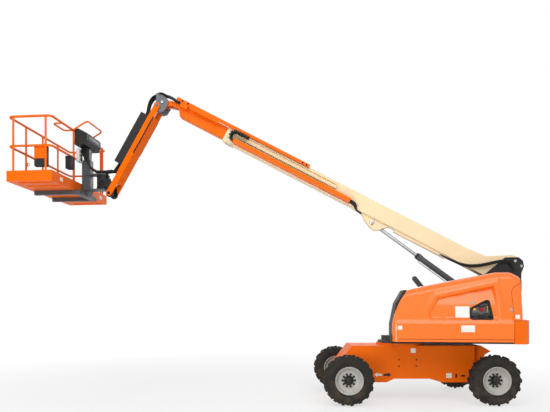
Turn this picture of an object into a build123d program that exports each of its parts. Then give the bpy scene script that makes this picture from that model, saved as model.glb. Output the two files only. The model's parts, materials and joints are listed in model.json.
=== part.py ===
from build123d import *
import math
import os

# A telescopic boom lift on four wheels, in millimetres. It is laid out about the swing axis
# (x = y = 0, ground at z = 0): the boom reaches towards -X, the tail towards +X, +Z is up.
# At the end every piece is moved so that the origin is under the middle of the whole machine.

# Wheels and chassis
CHASSIS_YAW = 6.0            # the chassis stands turned by this much under the upper works
WHEELBASE = 2440.0
DRIVE_AXLE_X = -1084.0       # from the swing axis
OVERALL_WIDTH = 2310.0
TYRE_DIAMETER = 852.0        # over the lugs
TYRE_WIDTH = 300.0
LUG_HEIGHT = 24.0
LUG_COUNT = 14               # on each half of the tread
LUG_LENGTH = 62.0            # along the tread
LUG_ANGLE = 24.0
RIM_DIAMETER = 470.0
HUB_DIAMETER = 250.0
FRAME_WIDTH = 780.0
FRAME_TOP = 957.0
FRAME_BOTTOM = 304.0
FRAME_WALL = 16.0
FRAME_FRONT_X = -935.0
FRAME_REAR_X = 1246.0
BELLY_RISE = 63.0
SIDE_HOLE = 18.0
AXLE_TUBE = 150.0
KINGPIN_OFFSET = 215.0       # from the wheel's middle plane to the kingpin
KINGPIN_DIAMETER = 50.0

# Turntable and hoods
BEARING_DIAMETER = 860.0
BEARING_HEIGHT = 80.0
DECK_THICKNESS = 30.0
DECK_HALF_WIDTH = 960.0
HOOD_FRONT_X = -240.0
HOOD_FAR_FRONT_X = -10.0
EXHAUST_X = 450.0
ENGINE_X = 1000.0
ENGINE_LENGTH = 850.0
ENGINE_WIDTH = 380.0
ENGINE_HEIGHT = 640.0
HOOD_REAR_X = 1735.0
HOOD_TAIL_X = 1885.0
HOOD_OUTER_Y = 1020.0
HOOD_INNER_Y = 430.0
HOOD_BAND_Z = 1385.0         # crease between the straight lower band and the leaning upper side
HOOD_CREASE = 35.0
HOOD_TOP_Z = 2237.0
HOOD_FRONT_TOP_Z = 1940.0
HOOD_NOSE = 200.0            # run of the leaning front, from its foot to the top
HOOD_LEAN = 130.0
HOOD_WALL = 22.0
HOOD_PANEL_DEPTH = 28.0      # of the sunk panel in each hood's side
HOOD_GAP = 8.0
TAIL_RADIUS = 2180.0
TAIL_TOP_Z = 1418.0
UPRIGHT_INNER_Y = 155.0
UPRIGHT_THICKNESS = 35.0

# Boom
PIVOT_X = 1993.0
PIVOT_Z = 2464.0
PIVOT_PIN = 80.0
BOOM_ANGLE = 28.4            # above level
BOOM_TOP = -171.0            # top of the base boom, square to the boom, from the pivot
BASE_HEIGHT = 291.0
BASE_WIDTH = 240.0
BASE_REAR = 360.0            # distances along the boom from the pivot
BASE_TIP = 5770.0
BASE_WALL = 10.0
TUBE_WALL = 8.0             # of the smaller square tubes
FLY_HEIGHT = 240.0
FLY_WIDTH = 190.0
FLY_WALL = 9.0
FLY_REAR = 1250.0
FLY_REACH = 1130.0           # fly boom beyond the base boom's tip
RUN_GAP = 0.3                # sliding clearance of pads, pins and rods
LIFT_PIN_U = 2558.0
LIFT_PIN_W = -538.0
LIFT_PIN = 56.0
LIFT_FOOT_X = 1400.0
LIFT_FOOT_Z = 1774.0
ROD_DIAMETER = 60.0
BARREL_DIAMETER = 105.0
BARREL_HEAD = 1038.0         # from the lift pin to the barrel's mouth
ROD_LENGTH = 1830.0
TRAY_REAR = 3090.0
TRAY_SETBACK = 240.0         # from the base boom's tip
CARRIER_LENGTH = 2070.0
CARRIER_HEIGHT = 96.0
PUSH_BAR = 60.0
PUSH_BAR_LENGTH = 2840.0

# Jib and platform
JIB_HEAD_REACH = 255.0       # head pin beyond the fly boom's tip
JIB_HEAD_W = -353.0
JIB_PIVOT_DX = -95.0         # jib pin from the head's own pin
JIB_PIVOT_DZ = -66.0
JIB_ANGLE = -60.0
JIB_LENGTH = 1905.0
JIB_PIN = 60.0
JIB_BAR_INNER_Y = 130.0
JIB_BAR_THICKNESS = 30.0
JIB_BAR_HEIGHT = 110.0
HEAD_CHEEK_Y = 102.0
HEAD_CHEEK_THICKNESS = 23.0
ROTATOR_OFFSET = 174.0       # from the jib's lower pin to the rotator's axis
ROTATOR_RISE = 99.0          # from that pin up to the rotator's lower face
ROTATOR_DIAMETER = 240.0
ROTATOR_HEIGHT = 270.0
MAST_OFFSET = 318.0          # from the rotator's axis to the mast's middle
MAST_SIZE = 174.0
MAST_HALF_WIDTH = 70.0
MAST_HEIGHT = 720.0
MAST_BEND = 150.0            # radius where the mast turns under the floor
PLATFORM_GAP = 25.0          # between the mast and the toe board
PLATFORM_DEPTH = 840.0
PLATFORM_HALF_WIDTH = 1220.0
FLOOR_DROP = 78.0            # from the rotator's lower face down to the floor's underside
FLOOR_THICKNESS = 8.0
TOE_HEIGHT = 188.0
TOE_THICKNESS = 6.0
RAIL_HEIGHT = 1168.0         # heights above the floor's underside
RAIL_MID_HEIGHT = 628.0
RAIL_TUBE = 42.0
RAIL_WALL = 4.0
RAIL_BEND = 80.0             # radius of the rails' corners, in plan
GUARD_TUBE = 32.0
CONSOLE_HALF_WIDTH = 320.0

pieces = {}

# Lengths along the boom that follow from its tip
fly_tip = BASE_TIP + FLY_REACH
tray_tip = BASE_TIP - TRAY_SETBACK
push_bar_rear = fly_tip - PUSH_BAR_LENGTH
jib_head_u = fly_tip + JIB_HEAD_REACH

# Frames of reference
sin_boom = math.sin(math.radians(BOOM_ANGLE))
cos_boom = math.cos(math.radians(BOOM_ANGLE))
boom_plane = Plane(origin=(PIVOT_X, 0, PIVOT_Z), x_dir=(-cos_boom, 0, sin_boom), z_dir=(0, 1, 0))


def side_plane(y):
    """Upright plane at y, seen from the near side: +X right, +Z up; it extrudes towards -Y."""
    return Plane(origin=(0, y, 0), x_dir=(1, 0, 0), z_dir=(0, -1, 0))


def boom_section(u):
    """Plane square to the boom at the distance u: x towards the near side, y up."""
    return Plane(origin=boom_plane.from_local_coords(Vector(u, 0, 0)), x_dir=(0, -1, 0),
                 z_dir=boom_plane.x_dir)


def boom_side(y):
    """Plane along the boom at y: x along the boom, y up; it extrudes towards +Y."""
    return Plane(origin=boom_plane.origin + Vector(0, y, 0), x_dir=boom_plane.x_dir, z_dir=(0, 1, 0))


def finish(name, part):
    """Label a finished piece and keep it for export."""
    part.label = name
    pieces[name] = part


# Wheels
wheel_z = TYRE_DIAMETER / 2
track_y = (OVERALL_WIDTH - TYRE_WIDTH) / 2
steer_axle_x = DRIVE_AXLE_X + WHEELBASE
chassis_turn = Location((0, 0, 0), (0, 0, CHASSIS_YAW))
carcass_r = TYRE_DIAMETER / 2 - LUG_HEIGHT
bead_r = RIM_DIAMETER / 2
half_tyre = TYRE_WIDTH / 2
shoulder = 22.0

with BuildPart() as tyre:
    with BuildSketch(Plane.XY):
        with BuildLine():
            Polyline((bead_r, -half_tyre + shoulder), (bead_r, half_tyre - shoulder))
            Polyline((bead_r, half_tyre - shoulder), (bead_r + 18, half_tyre - shoulder))
            ThreePointArc((bead_r + 18, half_tyre - shoulder), (bead_r + 85, half_tyre),
                          (carcass_r - 8, half_tyre - shoulder))
            Polyline((carcass_r - 8, half_tyre - shoulder), (carcass_r, half_tyre - 2 * shoulder),
                     (carcass_r, -half_tyre + 2 * shoulder), (carcass_r - 8, -half_tyre + shoulder))
            ThreePointArc((carcass_r - 8, -half_tyre + shoulder), (bead_r + 85, -half_tyre),
                          (bead_r + 18, -half_tyre + shoulder))
            Polyline((bead_r + 18, -half_tyre + shoulder), (bead_r, -half_tyre + shoulder))
        make_face()
    revolve(axis=Axis.Y)
    lug_width = half_tyre - shoulder
    lug_rise = math.sqrt((TYRE_DIAMETER / 2) ** 2 - (LUG_LENGTH * 0.7) ** 2)
    for half, phase in ((1, 0.0), (-1, 0.5)):
        for index in range(LUG_COUNT):
            turn = 360 * (index + phase) / LUG_COUNT
            spin = Location((0, 0, 0), (0, turn, 0))
            seat = Location((0, half * (lug_width / 2 + 4), lug_rise - LUG_HEIGHT / 2 - 4),
                            (0, 0, half * LUG_ANGLE))
            with Locations(spin * seat):
                Box(LUG_LENGTH, lug_width / math.cos(math.radians(LUG_ANGLE)), LUG_HEIGHT + 8)

with BuildPart() as rim:
    rim_r = bead_r - RUN_GAP
    with BuildSketch(Plane.XY):
        Polygon((rim_r - 14, half_tyre - shoulder), (rim_r, half_tyre - shoulder),
                (rim_r, -half_tyre + shoulder), (rim_r - 14, -half_tyre + shoulder), align=None)
        Polygon((HUB_DIAMETER / 2 - 10, -10), (rim_r - 60, -10), (rim_r - 8, -70), (rim_r - 8, -88),
                (rim_r - 64, -24), (HUB_DIAMETER / 2 - 10, -24), align=None)
        Polygon((0, -118), (58, -112), (78, -90), (HUB_DIAMETER / 2 - 14, -78), (HUB_DIAMETER / 2, -62),
                (HUB_DIAMETER / 2, 80), (0, 80), align=None)
    revolve(axis=Axis.Y)

wheel_places = (             # name, axle x, side
    ("front_near", DRIVE_AXLE_X, -1),
    ("front_far", DRIVE_AXLE_X, 1),
    ("rear_near", steer_axle_x, -1),
    ("rear_far", steer_axle_x, 1),
)
for name, axle_x, side in wheel_places:
    stand = Location((axle_x, side * track_y, wheel_z), (0, 0, 0 if side < 0 else 180))
    finish(f"tyre_{name}", tyre.part.moved(chassis_turn * stand))
    finish(f"wheel_{name}", rim.part.moved(chassis_turn * stand))

# Chassis frame
frame_side = [
    (FRAME_FRONT_X, FRAME_TOP), (FRAME_REAR_X, FRAME_TOP), (FRAME_REAR_X, FRAME_BOTTOM),
    (661, FRAME_BOTTOM), (449, FRAME_BOTTOM + BELLY_RISE), (-190, FRAME_BOTTOM + BELLY_RISE),
    (-317, FRAME_BOTTOM), (DRIVE_AXLE_X + 40, FRAME_BOTTOM),
    (DRIVE_AXLE_X - 150, wheel_z - 40), (DRIVE_AXLE_X - 150, wheel_z + 140),
]
beam_half = 230.0
side_holes = [(x, z) for x in (-100, 210) for z in (593, 708)]
with BuildPart() as chassis:
    with BuildSketch(side_plane(0)):
        Polygon(*frame_side, align=None)
    extrude(amount=FRAME_WIDTH / 2, both=True)
    with BuildSketch(side_plane(0)):
        Polygon((FRAME_FRONT_X + FRAME_WALL, FRAME_TOP - FRAME_WALL),
                (FRAME_REAR_X - FRAME_WALL, FRAME_TOP - FRAME_WALL), (FRAME_REAR_X - FRAME_WALL, 0),
                (DRIVE_AXLE_X + 150, 0), (DRIVE_AXLE_X + 150, wheel_z + 140), align=None)
    extrude(amount=FRAME_WIDTH / 2 - FRAME_WALL, both=True, mode=Mode.SUBTRACT)
    with BuildSketch(side_plane(0)):
        Polygon((FRAME_REAR_X - 40, FRAME_TOP - 10), (steer_axle_x + 60, FRAME_TOP - 10),
                (steer_axle_x + 240, 846), (steer_axle_x + 130, 780),
                (steer_axle_x + 90, wheel_z + AXLE_TUBE / 2), (steer_axle_x - 90, wheel_z + AXLE_TUBE / 2),
                (FRAME_REAR_X - 40, wheel_z + AXLE_TUBE / 2), align=None)
    extrude(amount=beam_half, both=True)
    with BuildSketch(Plane.XY.offset(FRAME_TOP)):
        Circle(BEARING_DIAMETER / 2)
    extrude(amount=BEARING_HEIGHT / 2)
    with BuildSketch(side_plane(0)):
        with Locations((DRIVE_AXLE_X, wheel_z)):
            Circle(AXLE_TUBE / 2)
    extrude(amount=FRAME_WIDTH / 2, both=True, mode=Mode.SUBTRACT)
    with BuildSketch(side_plane(0)):
        with Locations(*side_holes):
            Circle(SIDE_HOLE / 2)
    extrude(amount=FRAME_WIDTH / 2, both=True, mode=Mode.SUBTRACT)
finish("chassis_frame", chassis.part.moved(chassis_turn))

hub_face = track_y - 80 - RUN_GAP
with BuildPart() as drive_axle:
    with BuildSketch(side_plane(0)):
        with Locations((DRIVE_AXLE_X, wheel_z)):
            Circle(AXLE_TUBE / 2 - RUN_GAP)
    extrude(amount=hub_face, both=True)
finish("drive_axle", drive_axle.part.moved(chassis_turn))

kingpin_y = track_y - KINGPIN_OFFSET
with BuildPart() as steer_axle:
    with BuildSketch(side_plane(0)):
        with Locations((steer_axle_x, wheel_z)):
            Rectangle(130, AXLE_TUBE)
    extrude(amount=kingpin_y - 75, both=True)
    for side in (-1, 1):
        with BuildSketch(Plane.XY.offset(wheel_z + 62)):
            with Locations((steer_axle_x, side * (kingpin_y - 40))):
                Rectangle(110, 190)
        extrude(amount=38)
        with BuildSketch(Plane.XY.offset(wheel_z - 100)):
            with Locations((steer_axle_x, side * (kingpin_y - 40))):
                Rectangle(110, 190)
        extrude(amount=38)
        with BuildSketch(Plane.XY.offset(wheel_z - 100)):
            with Locations((steer_axle_x, side * kingpin_y)):
                Circle(KINGPIN_DIAMETER / 2)
        extrude(amount=200)
finish("steer_axle", steer_axle.part.moved(chassis_turn))

steer_arm = 170.0
boss_half = 56.0
arm_half = 20.0
for name, side in (("near", -1), ("far", 1)):
    with BuildPart() as knuckle:
        with BuildSketch(Plane.XY.offset(wheel_z - boss_half)):
            with Locations((steer_axle_x, side * kingpin_y)):
                Circle(58)
        extrude(amount=2 * boss_half)
        with BuildSketch(side_plane(side * kingpin_y)):
            with Locations((steer_axle_x, wheel_z)):
                Circle(50)
        extrude(amount=-side * (hub_face - kingpin_y))
        with BuildSketch(Plane.XY.offset(wheel_z - arm_half)):
            with Locations((steer_axle_x + steer_arm / 2, side * kingpin_y)):
                SlotCenterToCenter(steer_arm, 50)
        extrude(amount=2 * arm_half)
        with Locations((steer_axle_x, side * kingpin_y, wheel_z)):
            Cylinder(KINGPIN_DIAMETER / 2 + RUN_GAP, 4 * boss_half, mode=Mode.SUBTRACT)
    finish(f"steer_knuckle_{name}", knuckle.part.moved(chassis_turn))

tie_rod_r = 18.0
with BuildPart() as tie_rod:
    with BuildSketch(side_plane(0)):
        with Locations((steer_axle_x + steer_arm, wheel_z + arm_half + tie_rod_r + RUN_GAP)):
            Circle(tie_rod_r)
    extrude(amount=kingpin_y + 25, both=True)
finish("tie_rod", tie_rod.part.moved(chassis_turn))

# Turntable: slewing ring, deck, uprights that carry the boom, and clevis for the lift cylinder
ring_top = FRAME_TOP + BEARING_HEIGHT
deck_top = ring_top + DECK_THICKNESS
upright_outer_y = UPRIGHT_INNER_Y + UPRIGHT_THICKNESS
upright_rear_x = 2080.0
upright_side = [
    (700, deck_top), (upright_rear_x - 20, deck_top), (2105, 2250), (2150, 2370), (2130, 2470), (2060, 2530),
    (1830, 2530), (1440, 2200), (1150, 1900), (700, 1500),
]
clevis_y = BARREL_DIAMETER / 2 + 8
hinge_rear_x = 1500.0
barrel_r = 14.0
deck_setback = 10.0          # of the deck's edge behind the hood's front
bulkhead_y = HOOD_INNER_Y - barrel_r - RUN_GAP
bulkhead_thickness = 12.0
with BuildPart() as turntable:
    with BuildSketch(Plane.XY.offset(FRAME_TOP + BEARING_HEIGHT / 2 + RUN_GAP)):
        Circle(BEARING_DIAMETER / 2 - 30)
    extrude(amount=BEARING_HEIGHT / 2 - RUN_GAP)
    with BuildSketch(Plane.XY.offset(ring_top)):
        with Locations(((HOOD_FRONT_X + HOOD_REAR_X) / 2, 0)):
            Rectangle(HOOD_REAR_X - HOOD_FRONT_X - 2 * deck_setback, 2 * DECK_HALF_WIDTH)
    extrude(amount=DECK_THICKNESS)
    for inner_y in (UPRIGHT_INNER_Y, -upright_outer_y):
        with BuildSketch(side_plane(inner_y + UPRIGHT_THICKNESS)):
            Polygon(*upright_side, align=None)
        extrude(amount=UPRIGHT_THICKNESS)
    bulkheads = ((HOOD_FRONT_X, -bulkhead_y + bulkhead_thickness), (HOOD_FAR_FRONT_X, bulkhead_y))
    for front_x, plate_y in bulkheads:
        with BuildSketch(side_plane(plate_y)):
            Polygon((front_x + 60, deck_top), (front_x + 60, HOOD_BAND_Z - HOOD_CREASE),
                    (front_x + HOOD_NOSE, HOOD_FRONT_TOP_Z - 40),
                    (front_x + HOOD_NOSE + 20, HOOD_FRONT_TOP_Z), (hinge_rear_x, HOOD_TOP_Z),
                    (HOOD_REAR_X - 40, HOOD_TOP_Z - 20), (HOOD_REAR_X - 40, deck_top), align=None)
        extrude(amount=bulkhead_thickness)
    for ear_y in (clevis_y + 25, -clevis_y):
        with BuildSketch(side_plane(ear_y)):
            Polygon((LIFT_FOOT_X - 150, deck_top), (LIFT_FOOT_X + 250, deck_top),
                    (LIFT_FOOT_X + 75, LIFT_FOOT_Z), (LIFT_FOOT_X, LIFT_FOOT_Z + 75),
                    (LIFT_FOOT_X - 75, LIFT_FOOT_Z), align=None)
        extrude(amount=25)
    with BuildSketch(side_plane(0)):
        with Locations((PIVOT_X, PIVOT_Z)):
            Circle(PIVOT_PIN / 2)
    extrude(amount=upright_outer_y + 12, both=True)
finish("turntable", turntable.part)

with BuildPart() as counterweight:
    with BuildSketch(Plane.XY.offset(ring_top)):
        Circle(TAIL_RADIUS)
        with Locations((HOOD_REAR_X - 1500, 0)):
            Rectangle(3000, 3000, mode=Mode.SUBTRACT)
        with Locations((2000, 0)):
            Rectangle(3000, 2 * HOOD_OUTER_Y, mode=Mode.INTERSECT)
    extrude(amount=TAIL_TOP_Z - ring_top)
    with BuildSketch(Plane.XY.offset(deck_top)):
        with Locations(((HOOD_REAR_X + upright_rear_x) / 2, 0)):
            Rectangle(upright_rear_x - HOOD_REAR_X, 2 * upright_outer_y + 4)
    extrude(amount=TAIL_TOP_Z - deck_top, mode=Mode.SUBTRACT)
finish("counterweight", counterweight.part)

# Hoods: the side outline, the leaning cross-section and the plan with its round front corner, taken together
hood_bottom = deck_top + RUN_GAP
brow_x, brow_z = 70.0, 1709.0        # knee of the front edge, from the front and above the ground
tail_knee_x = 1740.0
tail_drop = 85.0
corner_back, corner_in = 85.0, 90.0        # rounding of the front corner in plan


def hood_solid(front_x, inset, below):
    """Body of the near hood from front_x, drawn in by inset on its outer faces, reaching down by below."""
    open_side = 1 if inset else 0
    with BuildPart() as body:
        with BuildSketch(side_plane(-HOOD_INNER_Y + open_side)):
            Polygon((front_x + inset, hood_bottom - below), (front_x + inset, HOOD_BAND_Z - HOOD_CREASE),
                    (front_x + brow_x + inset, brow_z),
                    (front_x + HOOD_NOSE + inset, HOOD_FRONT_TOP_Z - inset),
                    (hinge_rear_x, HOOD_TOP_Z - inset), (tail_knee_x - inset / 2, HOOD_TOP_Z - inset),
                    (HOOD_TAIL_X - inset, HOOD_TOP_Z - tail_drop - inset / 2),
                    (HOOD_TAIL_X - inset, TAIL_TOP_Z + HOOD_GAP),
                    (HOOD_REAR_X - HOOD_GAP - inset, TAIL_TOP_Z + HOOD_GAP),
                    (HOOD_REAR_X - HOOD_GAP - inset, hood_bottom - below), align=None)
        extrude(amount=HOOD_OUTER_Y - HOOD_INNER_Y + 1)
        with BuildSketch(Plane.YZ.offset(HOOD_FRONT_X - 10)):
            Polygon((-HOOD_INNER_Y + 2, 1000 - below), (-HOOD_OUTER_Y + inset, 1000 - below),
                    (-HOOD_OUTER_Y + inset, HOOD_BAND_Z),
                    (-HOOD_OUTER_Y + 30 + inset, HOOD_BAND_Z + HOOD_CREASE),
                    (-HOOD_OUTER_Y + HOOD_LEAN + inset, HOOD_TOP_Z - 150),
                    (-HOOD_OUTER_Y + HOOD_LEAN + 60 + inset, HOOD_TOP_Z - 50),
                    (-HOOD_OUTER_Y + HOOD_LEAN + 180 + inset, HOOD_TOP_Z + 40),
                    (-HOOD_INNER_Y + 2, HOOD_TOP_Z + 40), align=None)
        extrude(amount=TAIL_RADIUS - HOOD_FRONT_X, mode=Mode.INTERSECT)
        with BuildSketch(Plane.XY.offset(deck_top - 2 * below - 10)):
            Polygon((front_x - 10, 0), (front_x - 10, -HOOD_OUTER_Y + corner_in),
                    (front_x + inset, -HOOD_OUTER_Y + corner_in),
                    (front_x + 25 + inset, -HOOD_OUTER_Y + 28 + inset),
                    (front_x + corner_back + inset, -HOOD_OUTER_Y + inset),
                    (front_x + corner_back + 1 + inset, -HOOD_OUTER_Y - 5),
                    (TAIL_RADIUS, -HOOD_OUTER_Y - 5), (TAIL_RADIUS, 0), align=None)
        extrude(amount=HOOD_TOP_Z, mode=Mode.INTERSECT)
    return body.part


window = [(1047, 1449), (1047, 1620), (1307, 1754), (1350, 1754), (1402, 1449)]
side_panel = [(360, 1440), (370, 1560), (515, 1800), (1440, 2000), (1520, 1440)]
for name, front_x in (("hood_near", HOOD_FRONT_X), ("hood_far", HOOD_FAR_FRONT_X)):
    hinge_run = hinge_rear_x - front_x - HOOD_NOSE
    hinge_rise = HOOD_TOP_Z - HOOD_FRONT_TOP_Z
    hinge_tilt = 90 - math.degrees(math.atan2(hinge_rise, hinge_run))
    with BuildPart() as panel:
        with BuildSketch(side_plane(-HOOD_INNER_Y - 300)):
            Polygon(*side_panel, align=None)
        extrude(amount=500)
        add(hood_solid(front_x, HOOD_PANEL_DEPTH, 0), mode=Mode.SUBTRACT)
    with BuildPart() as hood:
        add(hood_solid(front_x, 0, 0))
        add(hood_solid(front_x, HOOD_WALL + HOOD_PANEL_DEPTH, 300), mode=Mode.SUBTRACT)
        add(panel.part, mode=Mode.SUBTRACT)
        with BuildSketch(side_plane(-HOOD_INNER_Y - 300)):
            Polygon(*window, align=None)
        extrude(amount=500, mode=Mode.SUBTRACT)
        for share in (0.3, 0.85):
            barrel_place = (front_x + HOOD_NOSE + share * hinge_run, -HOOD_INNER_Y,
                            HOOD_FRONT_TOP_Z + share * hinge_rise)
            with Locations(Location(barrel_place, (0, hinge_tilt, 0))):
                Cylinder(barrel_r, 120)
        if name == "hood_far":
            mirror(about=Plane.XZ, mode=Mode.REPLACE)
    finish(name, hood.part)

# Exhaust on the far hood, and a small box at the deck's front edge
exhaust_r = 50.0
exhaust_y = HOOD_INNER_Y + 170
with BuildPart() as exhaust:
    lean = Location((EXHAUST_X, exhaust_y, HOOD_TOP_Z - 160), (0, -38, 0))
    with Locations(lean):
        Cylinder(exhaust_r, 300)
    with Locations(lean * Location((0, 0, 150))):
        Sphere(exhaust_r)
    with BuildSketch(side_plane(exhaust_y + 2 * exhaust_r)):
        Polygon((HOOD_FAR_FRONT_X + HOOD_NOSE, HOOD_FRONT_TOP_Z + RUN_GAP),
                (hinge_rear_x, HOOD_TOP_Z + RUN_GAP), (hinge_rear_x, 0),
                (HOOD_FAR_FRONT_X + HOOD_NOSE, 0), align=None)
    extrude(amount=4 * exhaust_r, mode=Mode.SUBTRACT)
finish("exhaust_stack", exhaust.part)

deck_box_clear = 35.0        # room for the opening hood, which sweeps forwards
deck_box_size = 130.0
deck_box_y = -HOOD_OUTER_Y + 180
with BuildPart() as deck_box:
    with BuildSketch(Plane.XY.offset(ring_top)):
        with Locations((HOOD_FRONT_X - deck_box_clear, deck_box_y)):
            RectangleRounded(deck_box_size, 200, 15, align=(Align.MAX, Align.CENTER))
    extrude(amount=deck_box_size)
    with BuildSketch(Plane.XY.offset(ring_top)):
        with Locations((HOOD_FRONT_X + deck_setback - RUN_GAP, deck_box_y)):
            Rectangle(2 * deck_box_clear, 140, align=(Align.MAX, Align.CENTER))
    extrude(amount=DECK_THICKNESS - 10)
finish("deck_box", deck_box.part)

with BuildPart() as engine:
    with BuildSketch(Plane.XY.offset(deck_top)):
        with Locations((ENGINE_X, -(HOOD_INNER_Y + HOOD_OUTER_Y) / 2 + 25)):
            Rectangle(ENGINE_LENGTH, ENGINE_WIDTH)
    extrude(amount=ENGINE_HEIGHT)
finish("engine_block", engine.part)

# Base boom: box tube, goose-neck cheeks, tip collar, lift lugs and the track carrier's rim
base_mid = BOOM_TOP - BASE_HEIGHT / 2
base_low = BOOM_TOP - BASE_HEIGHT
cheek_thickness = UPRIGHT_INNER_Y - 10 - BASE_WIDTH / 2
lug_inner = 46.0
carrier_mid = BOOM_TOP - 87
carrier_rim = 20.0
carrier_depth = 34.0
with BuildPart() as base_boom:
    with BuildSketch(boom_section(BASE_REAR)):
        with Locations((0, base_mid)):
            RectangleRounded(BASE_WIDTH, BASE_HEIGHT, 20)
    extrude(amount=BASE_TIP - BASE_REAR)
    with BuildSketch(boom_section(BASE_TIP - 190)):
        with Locations((0, base_mid)):
            RectangleRounded(BASE_WIDTH + 26, BASE_HEIGHT + 26, 28)
    extrude(amount=190)
    for cheek_y in (-BASE_WIDTH / 2 - cheek_thickness, BASE_WIDTH / 2):
        with BuildSketch(boom_side(cheek_y)):
            Polygon((-95, 30), (-30, 95), (70, 90), (480, BOOM_TOP + 20), (760, BOOM_TOP), (1000, base_low),
                    (BASE_REAR, base_low), (-40, -95), align=None)
        extrude(amount=cheek_thickness)
    for lug_y in (-lug_inner - 25, lug_inner):
        with BuildSketch(boom_side(lug_y)):
            Polygon((2240, base_low + 5), (2830, base_low + 5), (2700, LIFT_PIN_W - 20),
                    (2560, LIFT_PIN_W - 90), (2440, LIFT_PIN_W - 105), (2380, LIFT_PIN_W - 60), align=None)
        extrude(amount=25)
    with BuildSketch(boom_side(-BASE_WIDTH / 2 - carrier_depth)):
        with Locations((tray_tip - 30 - CARRIER_LENGTH / 2, carrier_mid)):
            SlotOverall(CARRIER_LENGTH, CARRIER_HEIGHT)
            SlotOverall(CARRIER_LENGTH - 2 * carrier_rim, CARRIER_HEIGHT - 2 * carrier_rim,
                        mode=Mode.SUBTRACT)
    extrude(amount=carrier_depth)
    with BuildSketch(boom_section(BASE_REAR + BASE_WALL)):
        with Locations((0, base_mid)):
            RectangleRounded(BASE_WIDTH - 2 * BASE_WALL, BASE_HEIGHT - 2 * BASE_WALL, 12)
    extrude(amount=BASE_TIP - BASE_REAR, mode=Mode.SUBTRACT)
    with BuildSketch(boom_side(0)):
        Circle(PIVOT_PIN / 2 + RUN_GAP)
    extrude(amount=UPRIGHT_INNER_Y, both=True, mode=Mode.SUBTRACT)
    with BuildSketch(boom_side(0)):
        with Locations((LIFT_PIN_U, LIFT_PIN_W)):
            Circle(LIFT_PIN / 2)
    extrude(amount=lug_inner + 37, both=True)
finish("base_boom", base_boom.part)

pad_lift = (BASE_HEIGHT / 2 - BASE_WALL + FLY_HEIGHT / 2) / 2
pad_side = (BASE_WIDTH / 2 - BASE_WALL + FLY_WIDTH / 2) / 2
with BuildPart() as wear_pads:
    with BuildSketch(boom_section(BASE_TIP - 170)):
        with Locations((0, base_mid + pad_lift), (0, base_mid - pad_lift)):
            Rectangle(130, BASE_HEIGHT / 2 - BASE_WALL - FLY_HEIGHT / 2 - 2 * RUN_GAP)
        with Locations((pad_side, base_mid), (-pad_side, base_mid)):
            Rectangle(BASE_WIDTH / 2 - BASE_WALL - FLY_WIDTH / 2 - 2 * RUN_GAP, 150)
    extrude(amount=150)
finish("wear_pads", wear_pads.part)

with BuildPart() as hose_guard:
    with BuildSketch(boom_section(1080)):
        with Locations((0, base_low - 21)):
            Rectangle(170, 42)
            Rectangle(170 - 2 * TUBE_WALL, 42 - 2 * TUBE_WALL, mode=Mode.SUBTRACT)
    extrude(amount=1050)
finish("boom_hose_guard", hose_guard.part)

# Cable track beside the boom: tray on the base boom, bend that runs out at half speed
tray_low = -440.0
tray_floor = 10.0
link_half = 24.0
track_low = tray_low + tray_floor + link_half + RUN_GAP
track_high = -232.0
track_inner = BASE_WIDTH / 2 + 45
track_width = 130.0
with BuildPart() as track_tray:
    with BuildSketch(boom_section(TRAY_REAR)):
        with Locations((BASE_WIDTH / 2, tray_low)):
            Rectangle(track_width + 70, tray_floor, align=(Align.MIN, Align.MIN))
        with Locations((BASE_WIDTH / 2 + track_width + 60, tray_low)):
            Rectangle(10, 74, align=(Align.MIN, Align.MIN))
    extrude(amount=tray_tip - TRAY_REAR)
finish("track_tray", track_tray.part)

with BuildPart() as cable_track:
    with BuildSketch(boom_side(-track_inner - track_width)):
        bend_r = (track_high - track_low) / 2
        with Locations((tray_tip + 20, track_low + bend_r)):
            Circle(bend_r + link_half)
            Circle(bend_r - link_half, mode=Mode.SUBTRACT)
            Rectangle(400, 400, align=(Align.MAX, Align.CENTER), mode=Mode.SUBTRACT)
        with Locations((tray_tip + 21, track_low)):
            Rectangle(1900, 2 * link_half, align=(Align.MAX, Align.CENTER))
        with Locations((tray_tip + 21, track_high)):
            Rectangle(420, 2 * link_half, align=(Align.MAX, Align.CENTER))
    extrude(amount=track_width)
finish("cable_track", cable_track.part)

# Fly boom and the bar that pushes the cable track
fly_low = base_mid - FLY_HEIGHT / 2
nose_r = 72.0
nose_top = base_mid + FLY_HEIGHT / 2 - 20
with BuildPart() as fly_boom:
    with BuildSketch(boom_section(FLY_REAR)):
        with Locations((0, base_mid)):
            RectangleRounded(FLY_WIDTH, FLY_HEIGHT, 16)
            RectangleRounded(FLY_WIDTH - 2 * FLY_WALL, FLY_HEIGHT - 2 * FLY_WALL, 8, mode=Mode.SUBTRACT)
    extrude(amount=fly_tip - FLY_REAR)
    with BuildSketch(boom_side(-FLY_WIDTH)):
        Polygon((fly_tip - 170, fly_low - 1), (fly_tip + 1, fly_low - 1),
                (fly_tip + 1, fly_low + FLY_HEIGHT), align=None)
    extrude(amount=2 * FLY_WIDTH, mode=Mode.SUBTRACT)
    for nose_y in (-FLY_WIDTH / 2, FLY_WIDTH / 2 - 25):
        with BuildSketch(boom_side(nose_y)):
            with BuildLine():
                Polyline((jib_head_u - 20, JIB_HEAD_W + nose_r), (fly_tip - 10, nose_top),
                         (fly_tip - 250, nose_top), (fly_tip - 250, base_mid), (fly_tip + 60, base_mid),
                         (jib_head_u, JIB_HEAD_W - nose_r))
                ThreePointArc((jib_head_u, JIB_HEAD_W - nose_r), (jib_head_u + nose_r, JIB_HEAD_W),
                              (jib_head_u - 20, JIB_HEAD_W + nose_r))
            make_face()
            with Locations((jib_head_u, JIB_HEAD_W)):
                Circle(JIB_PIN / 2 + RUN_GAP, mode=Mode.SUBTRACT)
        extrude(amount=25)
finish("fly_boom", fly_boom.part)

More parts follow.
